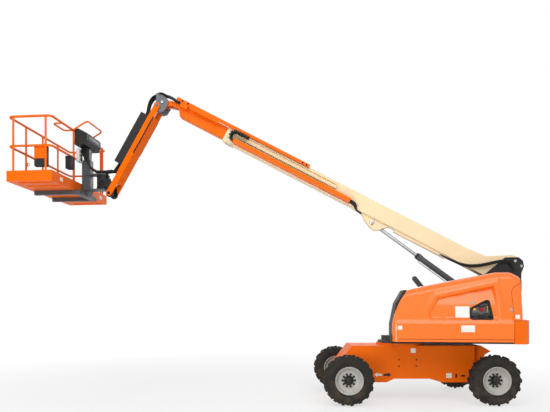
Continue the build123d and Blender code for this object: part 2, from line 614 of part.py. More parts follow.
push_inner = BASE_WIDTH / 2 + 24
push_w = BOOM_TOP - 1
with BuildPart() as push_bar:
    with BuildSketch(boom_section(push_bar_rear)):
        with Locations((push_inner + PUSH_BAR / 2, push_w)):
            RectangleRounded(PUSH_BAR, PUSH_BAR, 8)
            Rectangle(PUSH_BAR - 2 * TUBE_WALL, PUSH_BAR - 2 * TUBE_WALL, mode=Mode.SUBTRACT)
    extrude(amount=fly_tip - push_bar_rear)
    with BuildSketch(boom_section(fly_tip - 260)):
        with Locations((FLY_WIDTH / 2, base_mid + 40)):
            Rectangle(push_inner + PUSH_BAR - 10 - FLY_WIDTH / 2, push_w - base_mid - 40,
                      align=(Align.MIN, Align.MIN))
    extrude(amount=160)
finish("push_bar", push_bar.part)

# Lift cylinder: the rod hangs from the boom's lugs, the barrel runs along it
lift_pin = boom_plane.from_local_coords(Vector(LIFT_PIN_U, LIFT_PIN_W, 0))
lift_dir = (Vector(LIFT_FOOT_X, 0, LIFT_FOOT_Z) - lift_pin).normalized()
lift_length = (Vector(LIFT_FOOT_X, 0, LIFT_FOOT_Z) - lift_pin).length


def lift_section(distance):
    """Plane square to the lift cylinder at a distance from its upper pin."""
    return Plane(origin=lift_pin + lift_dir * distance, x_dir=(0, 1, 0), z_dir=lift_dir)


eye_r = 52.0
with BuildPart() as lift_rod:
    with BuildSketch(Plane(origin=lift_pin, x_dir=lift_dir, z_dir=(0, 1, 0))):
        Circle(eye_r)
        Circle(LIFT_PIN / 2 + RUN_GAP, mode=Mode.SUBTRACT)
    extrude(amount=lug_inner - 4, both=True)
    with BuildSketch(lift_section(eye_r - 6)):
        Circle(ROD_DIAMETER / 2)
    extrude(amount=ROD_LENGTH - eye_r)
finish("lift_rod", lift_rod.part)

with BuildPart() as lift_barrel:
    with BuildSketch(lift_section(BARREL_HEAD)):
        Circle(BARREL_DIAMETER / 2 + 8)
    extrude(amount=90)
    with BuildSketch(lift_section(BARREL_HEAD + 90)):
        Circle(BARREL_DIAMETER / 2)
    extrude(amount=lift_length - BARREL_HEAD - 90 - 40)
    with BuildSketch(Plane(origin=(LIFT_FOOT_X, 0, LIFT_FOOT_Z), x_dir=lift_dir, z_dir=(0, 1, 0))):
        Circle(62)
    extrude(amount=BARREL_DIAMETER / 2, both=True)
    with BuildSketch(lift_section(BARREL_HEAD)):
        Circle(ROD_DIAMETER / 2 + RUN_GAP)
    extrude(amount=lift_length - BARREL_HEAD - 80, mode=Mode.SUBTRACT)
    with BuildSketch(Plane(origin=(LIFT_FOOT_X, 0, LIFT_FOOT_Z), x_dir=lift_dir, z_dir=(0, 1, 0))):
        Circle(30)
    extrude(amount=BARREL_DIAMETER, both=True, mode=Mode.SUBTRACT)
finish("lift_barrel", lift_barrel.part)

# Jib: head on the fly boom, arm of two bars over a box, hose cover on its back
head = boom_plane.from_local_coords(Vector(jib_head_u, JIB_HEAD_W, 0))
jib_pivot = head + Vector(JIB_PIVOT_DX, 0, JIB_PIVOT_DZ)
sin_jib = math.sin(math.radians(JIB_ANGLE))
cos_jib = math.cos(math.radians(JIB_ANGLE))
jib_dir = Vector(-cos_jib, 0, sin_jib)
jib_end = jib_pivot + jib_dir * JIB_LENGTH


def jib_side(y):
    """Plane along the jib at y: x down the jib from its pin, y to its back; extrudes towards +Y."""
    return Plane(origin=jib_pivot + Vector(0, y, 0), x_dir=jib_dir, z_dir=(0, 1, 0))


def jib_section(distance):
    """Plane square to the jib at a distance from its pin: x towards the near side, y to its back."""
    return Plane(origin=jib_pivot + jib_dir * distance, x_dir=(0, -1, 0), z_dir=jib_dir)


bar_outer = JIB_BAR_INNER_Y + JIB_BAR_THICKNESS
with BuildPart() as jib_head:
    for cheek_y in (HEAD_CHEEK_Y + HEAD_CHEEK_THICKNESS, -HEAD_CHEEK_Y):
        with BuildSketch(side_plane(cheek_y)):
            with Locations((head.X, head.Z)):
                Circle(115)
            with Locations((jib_pivot.X, jib_pivot.Z)):
                Circle(80)
            Polygon((head.X - 120, head.Z + 175), (head.X - 30, head.Z + 190), (head.X + 70, head.Z + 80),
                    (head.X + 95, head.Z - 70), (head.X + 20, head.Z - 175), (head.X - 60, head.Z - 190),
                    (head.X - 130, head.Z - 40), align=None)
        extrude(amount=HEAD_CHEEK_THICKNESS)
    with BuildSketch(side_plane(0)):
        with Locations((head.X, head.Z)):
            Circle(JIB_PIN / 2)
    extrude(amount=HEAD_CHEEK_Y + 30, both=True)
    with BuildSketch(side_plane(0)):
        with Locations((jib_pivot.X, jib_pivot.Z)):
            Circle(JIB_PIN / 2)
    extrude(amount=bar_outer + 8, both=True)
    with BuildSketch(side_plane(0)):
        with Locations((head.X - 55, head.Z + 145)):
            Rectangle(70, 50)
    extrude(amount=HEAD_CHEEK_Y + 2, both=True)
finish("jib_head", jib_head.part)

bar_half = JIB_BAR_HEIGHT / 2
box_start = 230.0
box_low = -bar_half - 7
box_height = JIB_BAR_HEIGHT - 15
with BuildPart() as jib_arm:
    for bar_y in (JIB_BAR_INNER_Y, -bar_outer):
        with BuildSketch(jib_side(bar_y)):
            with Locations((JIB_LENGTH / 2, 0)):
                SlotCenterToCenter(JIB_LENGTH, JIB_BAR_HEIGHT)
            with Locations((0, 0), (JIB_LENGTH, 0)):
                Circle(JIB_PIN / 2 + RUN_GAP, mode=Mode.SUBTRACT)
        extrude(amount=JIB_BAR_THICKNESS)
    with BuildSketch(jib_section(box_start)):
        with Locations((0, box_low)):
            Rectangle(2 * JIB_BAR_INNER_Y, box_height, align=(Align.CENTER, Align.MIN))
            with Locations((0, TUBE_WALL)):
                Rectangle(2 * JIB_BAR_INNER_Y - 2 * TUBE_WALL, box_height - 2 * TUBE_WALL,
                          align=(Align.CENTER, Align.MIN), mode=Mode.SUBTRACT)
    extrude(amount=JIB_LENGTH - 2 * box_start)
finish("jib_arm", jib_arm.part)

cover_start = 250.0
cover_end = JIB_LENGTH - 590
with BuildPart() as jib_cover:
    with BuildSketch(jib_section(cover_start)):
        with Locations((0, bar_half - 20)):
            RectangleRounded(2 * bar_outer, 185, 20, align=(Align.CENTER, Align.MIN))
            Rectangle(2 * bar_outer - 24, 173, align=(Align.CENTER, Align.MIN), mode=Mode.SUBTRACT)
        with Locations((0, bar_half)):
            Rectangle(4 * bar_outer, 60, align=(Align.CENTER, Align.MAX), mode=Mode.SUBTRACT)
    extrude(amount=cover_end - cover_start)
finish("jib_hose_cover", jib_cover.part)

# Rotator at the jib's foot, and the mast and arms under the platform
rotator_x = jib_end.X - ROTATOR_OFFSET
rotator_bottom = jib_end.Z + ROTATOR_RISE
rotator_top = rotator_bottom + ROTATOR_HEIGHT
mast_x = rotator_x - MAST_OFFSET
platform_inner_x = mast_x - MAST_SIZE / 2 - PLATFORM_GAP
platform_outer_x = platform_inner_x - PLATFORM_DEPTH
floor_bottom = rotator_bottom - FLOOR_DROP
toe_top = floor_bottom + TOE_HEIGHT
rail_top = floor_bottom + RAIL_HEIGHT
rail_mid = floor_bottom + RAIL_MID_HEIGHT
fork_top = rotator_bottom + 2 * ROTATOR_HEIGHT / 3
with BuildPart() as rotator:
    with BuildSketch(Plane.XY.offset(rotator_bottom)):
        with Locations((rotator_x, 0)):
            Circle(ROTATOR_DIAMETER / 2)
    extrude(amount=rotator_top - rotator_bottom)
    for cheek_y in (HEAD_CHEEK_Y + HEAD_CHEEK_THICKNESS, -HEAD_CHEEK_Y):
        with BuildSketch(side_plane(cheek_y)):
            with Locations((jib_end.X, jib_end.Z)):
                Circle(75)
            Polygon((jib_end.X - 60, jib_end.Z), (jib_end.X + 75, jib_end.Z), (jib_end.X + 20, fork_top),
                    (rotator_x, fork_top), (rotator_x, rotator_bottom + 20),
                    (jib_end.X - 60, rotator_bottom + 20),
                    align=None)
        extrude(amount=HEAD_CHEEK_THICKNESS)
    with BuildSketch(side_plane(0)):
        with Locations((jib_end.X, jib_end.Z)):
            Circle(JIB_PIN / 2)
    extrude(amount=bar_outer + 8, both=True)
finish("rotator", rotator.part)

clamp = 25.0
arm_y = 350.0
arm_section = 80.0
arm_low = floor_bottom - arm_section
mast_out = mast_x + MAST_SIZE / 2
console_low = rail_top - 290
column_width = 110.0
with BuildPart() as mast:
    with BuildSketch(side_plane(0)):
        with BuildLine():
            Polyline((mast_out - MAST_BEND, arm_low), (mast_x - MAST_SIZE / 2, arm_low),
                     (mast_x - MAST_SIZE / 2, arm_low + MAST_HEIGHT), (mast_out, arm_low + MAST_HEIGHT),
                     (mast_out, arm_low + MAST_BEND))
            RadiusArc((mast_out, arm_low + MAST_BEND), (mast_out - MAST_BEND, arm_low), MAST_BEND)
        make_face()
    extrude(amount=MAST_HALF_WIDTH, both=True)
    with BuildSketch(side_plane(0)):
        with Locations((mast_x, arm_low + MAST_HEIGHT - TUBE_WALL)):
            Rectangle(MAST_SIZE - 2 * TUBE_WALL, MAST_HEIGHT - MAST_BEND - arm_section,
                      align=(Align.CENTER, Align.MAX))
    extrude(amount=MAST_HALF_WIDTH - TUBE_WALL, both=True, mode=Mode.SUBTRACT)
    with BuildSketch(side_plane(0)):
        with Locations((mast_x, console_low - RUN_GAP)):
            Rectangle(column_width, console_low - arm_low - MAST_HEIGHT, align=(Align.CENTER, Align.MAX))
    extrude(amount=MAST_HALF_WIDTH - 2 * TUBE_WALL, both=True)
    for clamp_z in (rotator_bottom - clamp - RUN_GAP, rotator_top + RUN_GAP):
        with BuildSketch(Plane.XY.offset(clamp_z)):
            with Locations((rotator_x, 0)):
                Circle(ROTATOR_DIAMETER / 2 - 15)
            with Locations((mast_x, 0)):
                Rectangle(rotator_x - mast_x, 190, align=(Align.MIN, Align.CENTER))
        extrude(amount=clamp)
    with BuildSketch(Plane.XY.offset(arm_low)):
        with Locations((mast_x - MAST_SIZE / 2, 0)):
            Rectangle(MAST_SIZE - MAST_BEND / 2, 2 * arm_y + arm_section, align=(Align.MIN, Align.CENTER))
        with Locations((mast_x - MAST_SIZE / 2 + 1, arm_y), (mast_x - MAST_SIZE / 2 + 1, -arm_y)):
            Rectangle(PLATFORM_DEPTH - 35, arm_section, align=(Align.MAX, Align.CENTER))
    extrude(amount=arm_section - RUN_GAP)
finish("platform_mast", mast.part)

# Platform: floor with toe boards, a rail frame on each side, gate and fittings
platform_mid_x = (platform_outer_x + platform_inner_x) / 2
platform_depth = platform_inner_x - platform_outer_x
with BuildPart() as floor:
    with BuildSketch(Plane.XY.offset(floor_bottom)):
        with Locations((platform_mid_x, 0)):
            Rectangle(platform_depth, 2 * PLATFORM_HALF_WIDTH)
    extrude(amount=toe_top - floor_bottom)
    with BuildSketch(Plane.XY.offset(floor_bottom + FLOOR_THICKNESS)):
        with Locations((platform_mid_x, 0)):
            Rectangle(platform_depth - 2 * TOE_THICKNESS, 2 * (PLATFORM_HALF_WIDTH - TOE_THICKNESS))
    extrude(amount=toe_top - floor_bottom, mode=Mode.SUBTRACT)
finish("platform_floor", floor.part)

tube_r = RAIL_TUBE / 2
post_r = tube_r - 3
post_left = platform_outer_x + TOE_THICKNESS + tube_r
post_right = platform_inner_x - TOE_THICKNESS - tube_r
end_y = PLATFORM_HALF_WIDTH - TOE_THICKNESS - tube_r
rail_floor = floor_bottom + FLOOR_THICKNESS
rail_axis_z = rail_top - tube_r
corner_y = end_y - 2 * RAIL_BEND             # the end rails run round the corners to here
hinge_post_y = corner_y + tube_r
gate_tube_r = tube_r - 2
mid_rail_r = tube_r - 1
gate_hinge_y = hinge_post_y - 60
gate_post_low = rail_mid - 30
gate_post_high = rail_axis_z + 25
hinge_plate = 10.0
for name, side in (("near", -1), ("far", 1)):
    with BuildPart() as end_rail:
        for rail_z, rail_r in ((rail_axis_z, tube_r), (rail_mid, mid_rail_r)):
            with BuildLine(Plane.XY.offset(rail_z)) as bow:
                FilletPolyline((post_left, side * corner_y), (post_left, side * end_y),
                               (post_right, side * end_y), (post_right, side * corner_y), radius=RAIL_BEND)
            with BuildSketch(Plane(origin=(post_left, side * corner_y, rail_z), z_dir=(0, side, 0))):
                Circle(rail_r)
                Circle(rail_r - RAIL_WALL, mode=Mode.SUBTRACT)
            sweep(path=bow.line)
        with BuildSketch(Plane.XY.offset(rail_floor)):
            with Locations((post_left + RAIL_BEND + 5, side * end_y),
                           (post_right - RAIL_BEND - 20, side * end_y)):
                Circle(post_r)
                Circle(post_r - RAIL_WALL, mode=Mode.SUBTRACT)
        extrude(amount=rail_axis_z - rail_floor)
        if name == "far":
            with BuildSketch(Plane.XY.offset(rail_floor)):
                with Locations((post_right, hinge_post_y)):
                    Circle(post_r)
            extrude(amount=gate_post_high + RUN_GAP + hinge_plate - rail_floor)
            for plate_z in (gate_post_low - RUN_GAP - hinge_plate, gate_post_high + RUN_GAP):
                with BuildSketch(Plane.XY.offset(plate_z)):
                    with Locations((post_right, hinge_post_y)):
                        Rectangle(30, hinge_post_y - gate_hinge_y + 15, align=(Align.CENTER, Align.MAX))
                extrude(amount=hinge_plate)
    finish(f"rail_{name}_end", end_rail.part)

side_reach = corner_y - RUN_GAP
with BuildPart() as outer_rail:
    with BuildSketch(Plane.XZ.offset(-side_reach)):
        with Locations((post_left, rail_axis_z), (post_left, rail_mid)):
            Circle(tube_r)
            Circle(tube_r - RAIL_WALL, mode=Mode.SUBTRACT)
    extrude(amount=2 * side_reach)
    with BuildSketch(Plane.XY.offset(rail_floor)):
        with Locations(*[(post_left, share * side_reach) for share in (-0.6, 0, 0.6)]):
            Circle(post_r)
            Circle(post_r - RAIL_WALL, mode=Mode.SUBTRACT)
    extrude(amount=rail_axis_z - rail_floor)
finish("rail_outer_side", outer_rail.part)

gate_near_y = CONSOLE_HALF_WIDTH + 110
with BuildPart() as boom_rail:
    with BuildSketch(Plane.XZ.offset(-gate_near_y)):
        with Locations((post_right, rail_axis_z), (post_right, rail_mid)):
            Circle(tube_r)
            Circle(tube_r - RAIL_WALL, mode=Mode.SUBTRACT)
    extrude(amount=gate_near_y + side_reach)
    with BuildSketch(Plane.XY.offset(rail_floor)):
        with Locations((post_right, gate_near_y - tube_r), (post_right, -CONSOLE_HALF_WIDTH)):
            Circle(post_r)
            Circle(post_r - RAIL_WALL, mode=Mode.SUBTRACT)
    extrude(amount=rail_axis_z - rail_floor)
finish("rail_boom_side", boom_rail.part)

gate_gap = 12.0
gate_start = gate_near_y + gate_gap
with BuildPart() as gate:
    with BuildSketch(Plane.XZ.offset(-gate_hinge_y)):
        with Locations((post_right, rail_axis_z), (post_right, rail_mid)):
            Circle(gate_tube_r - 2)
    extrude(amount=gate_hinge_y - gate_start - gate_tube_r)
    with BuildSketch(Plane.XY.offset(gate_post_low)):
        with Locations((post_right, gate_start + gate_tube_r), (post_right, gate_hinge_y)):
            Circle(gate_tube_r)
    extrude(amount=gate_post_high - gate_post_low)
finish("platform_gate", gate.part)

with BuildPart() as console:
    with BuildSketch(side_plane(0)):
        Polygon((post_right + tube_r, console_low), (post_right + tube_r, rail_top + 10),
                (post_right + 60, rail_top + 25), (post_right + 270, rail_top - 90),
                (post_right + 270, rail_top - 200), (mast_out, console_low), align=None)
    extrude(amount=CONSOLE_HALF_WIDTH, both=True)
finish("control_console", console.part)

# Guard hoops: one leans out over the console, one stands inside the top rail
guard_r = GUARD_TUBE / 2
guard_reach = 330.0
guard_bend = 70.0
guard_lean = math.radians(30)
guard_half = CONSOLE_HALF_WIDTH + guard_r + 14
guard_plane = Plane(origin=(post_right, 0, rail_axis_z),
                    x_dir=(math.cos(guard_lean), 0, math.sin(guard_lean)),
                    z_dir=(-math.sin(guard_lean), 0, math.cos(guard_lean)))
inner_plane = Plane(origin=(post_right, -guard_half - 200, rail_axis_z),
                    x_dir=(-1, 0, 0), z_dir=(0, 0, 1))
guard_start = tube_r + RUN_GAP
with BuildPart() as guard:
    for plane, reach, half in ((guard_plane, guard_reach, guard_half), (inner_plane, 180, 220)):
        with BuildLine(plane) as hoop:
            FilletPolyline((guard_start, -half), (reach, -half), (reach, half), (guard_start, half),
                           radius=guard_bend)
        hoop_start = plane.from_local_coords(Vector(guard_start, -half, 0))
        with BuildSketch(Plane(origin=hoop_start, z_dir=plane.x_dir)):
            Circle(guard_r)
        sweep(path=hoop.line)
finish("console_guard", guard.part)

# Boxes on the platform: document box on the near end, outlet box and tool box on the boom side
with BuildPart() as document_box:
    with BuildSketch(side_plane(-end_y + mid_rail_r + RUN_GAP)):
        with Locations((platform_inner_x - 230, rail_mid + 5)):
            RectangleRounded(240, 370, 20, align=(Align.CENTER, Align.MAX))
    extrude(amount=-60)
finish("document_box", document_box.part)
with BuildPart() as outlet_box:
    with BuildSketch(Plane.YZ.offset(post_right + tube_r + RUN_GAP)):
        with Locations((-175, rail_mid - 50)):
            RectangleRounded(150, 250, 12, align=(Align.CENTER, Align.MIN))
    extrude(amount=60)
finish("outlet_box", outlet_box.part)
with BuildPart() as tool_box:
    with BuildSketch(Plane.XY.offset(rail_mid - tube_r - RUN_GAP)):
        with Locations((post_right, -CONSOLE_HALF_WIDTH - 150)):
            RectangleRounded(120, 150, 15)
    extrude(amount=-230)
finish("tool_box", tool_box.part)

# Move everything so that the origin lies under the middle of the machine
corner_low = [min(getattr(p.bounding_box().min, axis) for p in pieces.values()) for axis in "XYZ"]
corner_high = [max(getattr(p.bounding_box().max, axis) for p in pieces.values()) for axis in "XYZ"]
middle = Vector(-(corner_low[0] + corner_high[0]) / 2, -(corner_low[1] + corner_high[1]) / 2, -corner_low[2])
print("moved by", [round(v, 3) for v in tuple(middle)])
print("size", [round(h - l, 1) for l, h in zip(corner_low, corner_high)])

os.makedirs("parts", exist_ok=True)
for name, part in pieces.items():
    placed = part.moved(Location(middle))
    placed.label = name
    export_step(placed, f"parts/{name}.step")
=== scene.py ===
# %% [markdown]
# # A telescopic boom lift, dressed for the camera
# The machine arrives as a imported model: a chassis on four wheels, a turret, a boom in two stages,
# a hanging jib and a work platform. Everything here is in metres, in that model's own frame.

# %% Load the frame
import json
import math
import bmesh
import bpy
import numpy as np
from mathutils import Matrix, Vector


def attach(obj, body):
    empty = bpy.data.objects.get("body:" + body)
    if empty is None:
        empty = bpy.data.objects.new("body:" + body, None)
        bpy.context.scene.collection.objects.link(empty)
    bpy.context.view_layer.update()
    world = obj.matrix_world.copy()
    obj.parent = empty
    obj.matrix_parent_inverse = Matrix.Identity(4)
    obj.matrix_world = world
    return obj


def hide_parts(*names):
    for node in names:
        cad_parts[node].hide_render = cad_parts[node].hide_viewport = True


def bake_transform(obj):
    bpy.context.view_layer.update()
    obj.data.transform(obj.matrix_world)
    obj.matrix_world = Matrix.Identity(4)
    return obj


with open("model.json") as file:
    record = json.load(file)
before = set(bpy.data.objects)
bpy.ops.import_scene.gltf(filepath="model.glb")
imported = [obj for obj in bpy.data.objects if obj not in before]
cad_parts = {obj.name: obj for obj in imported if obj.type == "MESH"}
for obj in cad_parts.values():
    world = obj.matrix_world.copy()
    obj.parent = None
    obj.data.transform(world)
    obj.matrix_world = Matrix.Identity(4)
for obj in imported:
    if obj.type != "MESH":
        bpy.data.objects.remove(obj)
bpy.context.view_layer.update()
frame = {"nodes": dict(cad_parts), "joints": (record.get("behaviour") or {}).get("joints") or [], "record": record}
nodes = frame["nodes"]

# %% [markdown]
# The machine is easiest to describe about its swing axis, with the boom towards -X. The swing
# joint says where that axis stands in the frame. The chassis is turned a little under the upper
# works, and the boom and the jib have directions of their own, so each gets a small function
# that turns its own measures (along, sideways, square to it) into the frame.

# %% Places on the machine
swing = np.array(next(j for j in frame["joints"] if j["name"] == "swing")["pos_m"], float)
SHIFT = np.array([swing[0], swing[1], -0.0002])
YAW, BOOM, JIB = np.radians([6.0, 28.4, 60.0])
PIVOT = np.array([1.993, 0.0, 2.464])         # the boom's pivot
HEAD = np.array([-4.4688, 0.0, 5.5566])       # the pin of the jib's head
JIB_PIN = np.array([-4.5638, 0.0, 5.4906])    # the upper pin of the jib
YAW_AXES = np.array([[np.cos(YAW), np.sin(YAW), 0], [-np.sin(YAW), np.cos(YAW), 0], [0, 0, 1]])
BOOM_AXES = np.array([[-np.cos(BOOM), 0, np.sin(BOOM)], [0, 1, 0], [np.sin(BOOM), 0, np.cos(BOOM)]])
JIB_AXES = np.array([[-np.cos(JIB), 0, -np.sin(JIB)], [0, 1, 0], [-np.sin(JIB), 0, np.cos(JIB)]])


def on_turret(p):
    """Points measured from the swing axis and the ground, moved into the frame."""
    return np.asarray(p, float) + SHIFT


def on_chassis(p):
    """Points measured along and across the chassis, turned by its yaw about the swing axis."""
    return np.asarray(p, float) @ YAW_AXES + SHIFT


def on_boom(p):
    """Points (u along the boom from its pivot, y sideways, w square to the boom)."""
    return np.asarray(p, float) @ BOOM_AXES + PIVOT + SHIFT


def on_jib(p):
    """Points (u down the jib from its pin, y sideways, w towards the jib's back)."""
    return np.asarray(p, float) @ JIB_AXES + JIB_PIN + SHIFT


print("swing axis at", swing)

# %% [markdown]
# The photograph was taken with a level camera at eye height. It stands square to the chassis, and
# the picture was cropped above the horizon, which a lens shift repeats. The swing axis lies to the
# right of the camera and ten metres in front of it.

# %% Camera
EYE_HEIGHT, AXIS_RIGHT, AXIS_AHEAD = 1.699, 2.38, 10.455
FOCAL_PX, WIDE, HIGH, CENTRE_PX = 565.0, 550.0, 412.0, (271.0, 304.0)
look = np.array([-math.sin(YAW), math.cos(YAW), 0])
right = np.array([math.cos(YAW), math.sin(YAW), 0])
eye = SHIFT - AXIS_AHEAD * look - AXIS_RIGHT * right
lens = bpy.data.cameras.new("camera")
lens.sensor_width = 36.0
lens.sensor_fit = "HORIZONTAL"
lens.lens = FOCAL_PX / WIDE * lens.sensor_width
lens.shift_x = (WIDE / 2 - CENTRE_PX[0]) / WIDE
lens.shift_y = (CENTRE_PX[1] - HIGH / 2) / WIDE
camera = bpy.data.objects.new("camera", lens)
camera.location = (eye[0], eye[1], EYE_HEIGHT)
camera.rotation_euler = (math.pi / 2, 0, YAW)
bpy.context.scene.collection.objects.link(camera)
bpy.context.scene.camera = camera
print("camera at", [round(v, 3) for v in camera.location], "lens", round(lens.lens, 2))

# %% [markdown]
# Floor, sky and paints are all node trees, so small helpers come first. One adds a node and wires
# it, one turns a hex code into the linear light that shaders use, one starts an empty material.

# %% Helpers for nodes and colours
def node(tree, kind, inputs=None, **settings):
    """One node: settings go on the node itself, inputs are values or the sockets that feed it."""
    made = tree.nodes.new(kind)
    for key, value in settings.items():
        setattr(made, key, value)
    for key, value in (inputs or {}).items():
        if isinstance(value, bpy.types.NodeSocket):
            tree.links.new(value, made.inputs[key])
        else:
            made.inputs[key].default_value = value
    return made


def linear(code):
    """An sRGB hex colour as linear RGBA: the usual two-part curve, channel by channel."""
    c = np.array([int(code[i:i + 2], 16) for i in (1, 3, 5)]) / 255
    c = np.where(c <= 0.04045, c / 12.92, ((c + 0.055) / 1.055) ** 2.4)
    return (*c, 1.0)


def blank_material(name):
    """A new material with only its output left in it."""
    made = bpy.data.materials.new(name)
    made.use_nodes = True
    made.node_tree.nodes.clear()
    return made, made.node_tree, made.node_tree.nodes.new("ShaderNodeOutputMaterial")


def seen_directly(tree, *kinds):
    """1 for a ray of one of these kinds, else 0: the largest of the light path's answers."""
    path = node(tree, "ShaderNodeLightPath")
    share = path.outputs[kinds[0]]
    for kind in kinds[1:]:
        share = node(tree, "ShaderNodeMath", {0: share, 1: path.outputs[kind]}, operation="MAXIMUM").outputs[0]
    return share


print("helpers ready")

# %% [markdown]
# A machine cut out on white needs a white floor that still takes a soft shadow. The floor is a pale
# diffuse sheet that the camera sees mostly as plain white, wholly so further out.

# %% Floor
bpy.context.scene.view_settings.view_transform = "Standard"
FLOOR_HALF, WHITE_FROM, WHITE_TO, WHITE_SHARE = 60.0, 3.0, 9.0, 0.62
paper, tree, out = blank_material("matt_white_paper")
place = node(tree, "ShaderNodeTexCoord").outputs["Object"]
reach = node(tree, "ShaderNodeVectorMath", {0: place}, operation="LENGTH").outputs["Value"]
white = node(tree, "ShaderNodeMapRange", {"Value": reach, "From Min": WHITE_FROM, "From Max": WHITE_TO,
                                          "To Min": WHITE_SHARE, "To Max": 1.0}).outputs["Result"]
seen = seen_directly(tree, "Is Camera Ray", "Is Glossy Ray")
share = node(tree, "ShaderNodeMath", {0: seen, 1: white}, operation="MULTIPLY").outputs[0]
sheet = node(tree, "ShaderNodeBsdfDiffuse", {"Color": linear("#F4F4F2")})
glow = node(tree, "ShaderNodeEmission", {"Color": (1, 1, 1, 1), "Strength": 1.0})
both = node(tree, "ShaderNodeMixShader", {0: share, 1: sheet.outputs[0], 2: glow.outputs[0]})
tree.links.new(both.outputs[0], out.inputs[0])
floor_mesh = bpy.data.meshes.new("studio_floor")
corners = [(-FLOOR_HALF, -FLOOR_HALF, 0), (FLOOR_HALF, -FLOOR_HALF, 0),
           (FLOOR_HALF, FLOOR_HALF, 0), (-FLOOR_HALF, FLOOR_HALF, 0)]
floor_mesh.from_pydata(corners, [], [(0, 1, 2, 3)])
floor_mesh.materials.append(paper)
floor = bpy.data.objects.new("studio_floor", floor_mesh)
bpy.context.scene.collection.objects.link(floor)
print("floor", 2 * FLOOR_HALF, "m wide")

# %% [markdown]
# The sky is plain white to the eye, in reflections and through glass, and a weaker, slightly cool
# light everywhere else, so that the paints keep their depth.

# %% Sky
SKY_TINT, SKY_STRENGTH = (0.93, 0.96, 1, 1), 0.46
sky = bpy.data.worlds.new("studio_sky")
bpy.context.scene.world = sky
sky.use_nodes = True
tree = sky.node_tree
tree.nodes.clear()
out = tree.nodes.new("ShaderNodeOutputWorld")
seen = seen_directly(tree, "Is Camera Ray", "Is Glossy Ray", "Is Transmission Ray")
plain = node(tree, "ShaderNodeBackground", {"Color": (1, 1, 1, 1), "Strength": 1.0})
soft = node(tree, "ShaderNodeBackground", {"Color": SKY_TINT, "Strength": SKY_STRENGTH})
both = node(tree, "ShaderNodeMixShader", {0: seen, 1: soft.outputs[0], 2: plain.outputs[0]})
tree.links.new(both.outputs[0], out.inputs[0])
print("sky strength", SKY_STRENGTH)

# %% [markdown]
# Two broad lamps stand high in front, to the left and to the right. A low one reaches the wheels and
# the underside, and one behind the machine draws its upper edges.

# %% Lamps
LAMPS = (  # name, place, aim, side in metres, watts
    ("key", (-3.0, -9.0, 12.0), (0.0, 0, 2.6), 6.0, 400),
    ("fill", (4.6, -9.0, 8.6), (2.8, 0, 1.6), 6.0, 350),
    ("low", (-2.8, -12.0, 1.2), (2.2, 0, 0.3), 4.0, 600),
    ("back", (2.0, 10.0, 9.0), (0.0, 0, 2.5), 6.0, 360),
)
for name, place, aim, side, watts in LAMPS:
    light = bpy.data.lights.new(f"lamp_{name}", "AREA")
    light.size = side
    light.energy = watts
    lamp = bpy.data.objects.new(f"lamp_{name}", light)
    lamp.location = place
    lamp.rotation_euler = (Vector(aim) - Vector(place)).to_track_quat("-Z", "Y").to_euler()
    bpy.context.scene.collection.objects.link(lamp)
print("lamps", len(LAMPS))

# %% [markdown]
# ## Paints and bare materials
# Powder coat on welded steel is glossy but never optically flat: it has a faint orange-peel ripple
# about 3 mm across, drifts a little in colour, and holds a film of dust, more of it low down. One
# recipe gives all the paints; the colour, the gloss and the dust come from a table. The real ripple
# is too fine for the picture, so it is drawn 120 mm wide and weaker.

# %% Paint recipe
def spread(tree, value, low, high, to_low, to_high):
    """Map Range node: a value from low to high becomes one from to_low to to_high."""
    return node(tree, "ShaderNodeMapRange", {"Value": value, "From Min": low, "From Max": high,
                                             "To Min": to_low, "To Max": to_high}).outputs["Result"]


def noise(tree, place, scale, detail, **more):
    """Noise texture in object coordinates: scale is one over the pattern's size in metres."""
    return node(tree, "ShaderNodeTexNoise", {"Vector": place, "Scale": scale, "Detail": detail,
                                             **more}).outputs["Fac"]


def coated(name, colour, rough, ripple_mm=120.0, ripple=0.02, dust=0.12, dust_top=1.0, coat=0.0,
           metal=0.0, drift=0.10, dust_colour="#8E7F6E", spec=0.3):
    """Paint or moulded skin. Colour drifts with a slow noise of half a metre, patches of about
    140 mm break the gloss, dust fades out from the ground up to dust_top metres and a fine noise of
    ripple_mm is the bump."""
    made, tree, out = blank_material(name)
    place = node(tree, "ShaderNodeTexCoord").outputs["Object"]
    slow = noise(tree, place, 2.0, 3.0)
    speck = noise(tree, place, 7.0, 3.0, Roughness=0.5)
    peel = noise(tree, place, 1000 / ripple_mm, 2.0)
    base = np.array(linear(colour))
    lo = tuple(np.append(np.clip(base[:3] * (1 - drift), 0, 1), 1))
    hi = tuple(np.append(np.clip(base[:3] * (1 + drift * 0.6), 0, 1), 1))
    tint = node(tree, "ShaderNodeMix", {"Factor": slow, "A": lo, "B": hi}, data_type="RGBA")
    height = node(tree, "ShaderNodeSeparateXYZ", {"Vector": place}).outputs["Z"]
    low = spread(tree, height, dust_top, 0.0, 0.12, 1.0)
    patch = spread(tree, speck, 0.42, 0.72, 0.0, dust)
    film = node(tree, "ShaderNodeMath", {0: low, 1: patch}, operation="MULTIPLY").outputs[0]
    skin = node(tree, "ShaderNodeMix", {"Factor": film, "A": tint.outputs["Result"],
                                        "B": linear(dust_colour)}, data_type="RGBA")
    gloss = spread(tree, speck, 0.3, 0.75, rough * 0.85, min(1.0, rough * 1.3))
    bump = node(tree, "ShaderNodeBump", {"Height": peel, "Strength": ripple, "Distance": 0.002})
    shader = node(tree, "ShaderNodeBsdfPrincipled", {
        "Base Color": skin.outputs["Result"], "Roughness": gloss, "Normal": bump.outputs["Normal"],
        "Metallic": metal, "IOR": 1.5, "Coat Weight": coat, "Coat Roughness": 0.16,
        "Specular IOR Level": spec})
    tree.links.new(shader.outputs[0], out.inputs[0])
    return made


print("paint recipe ready")

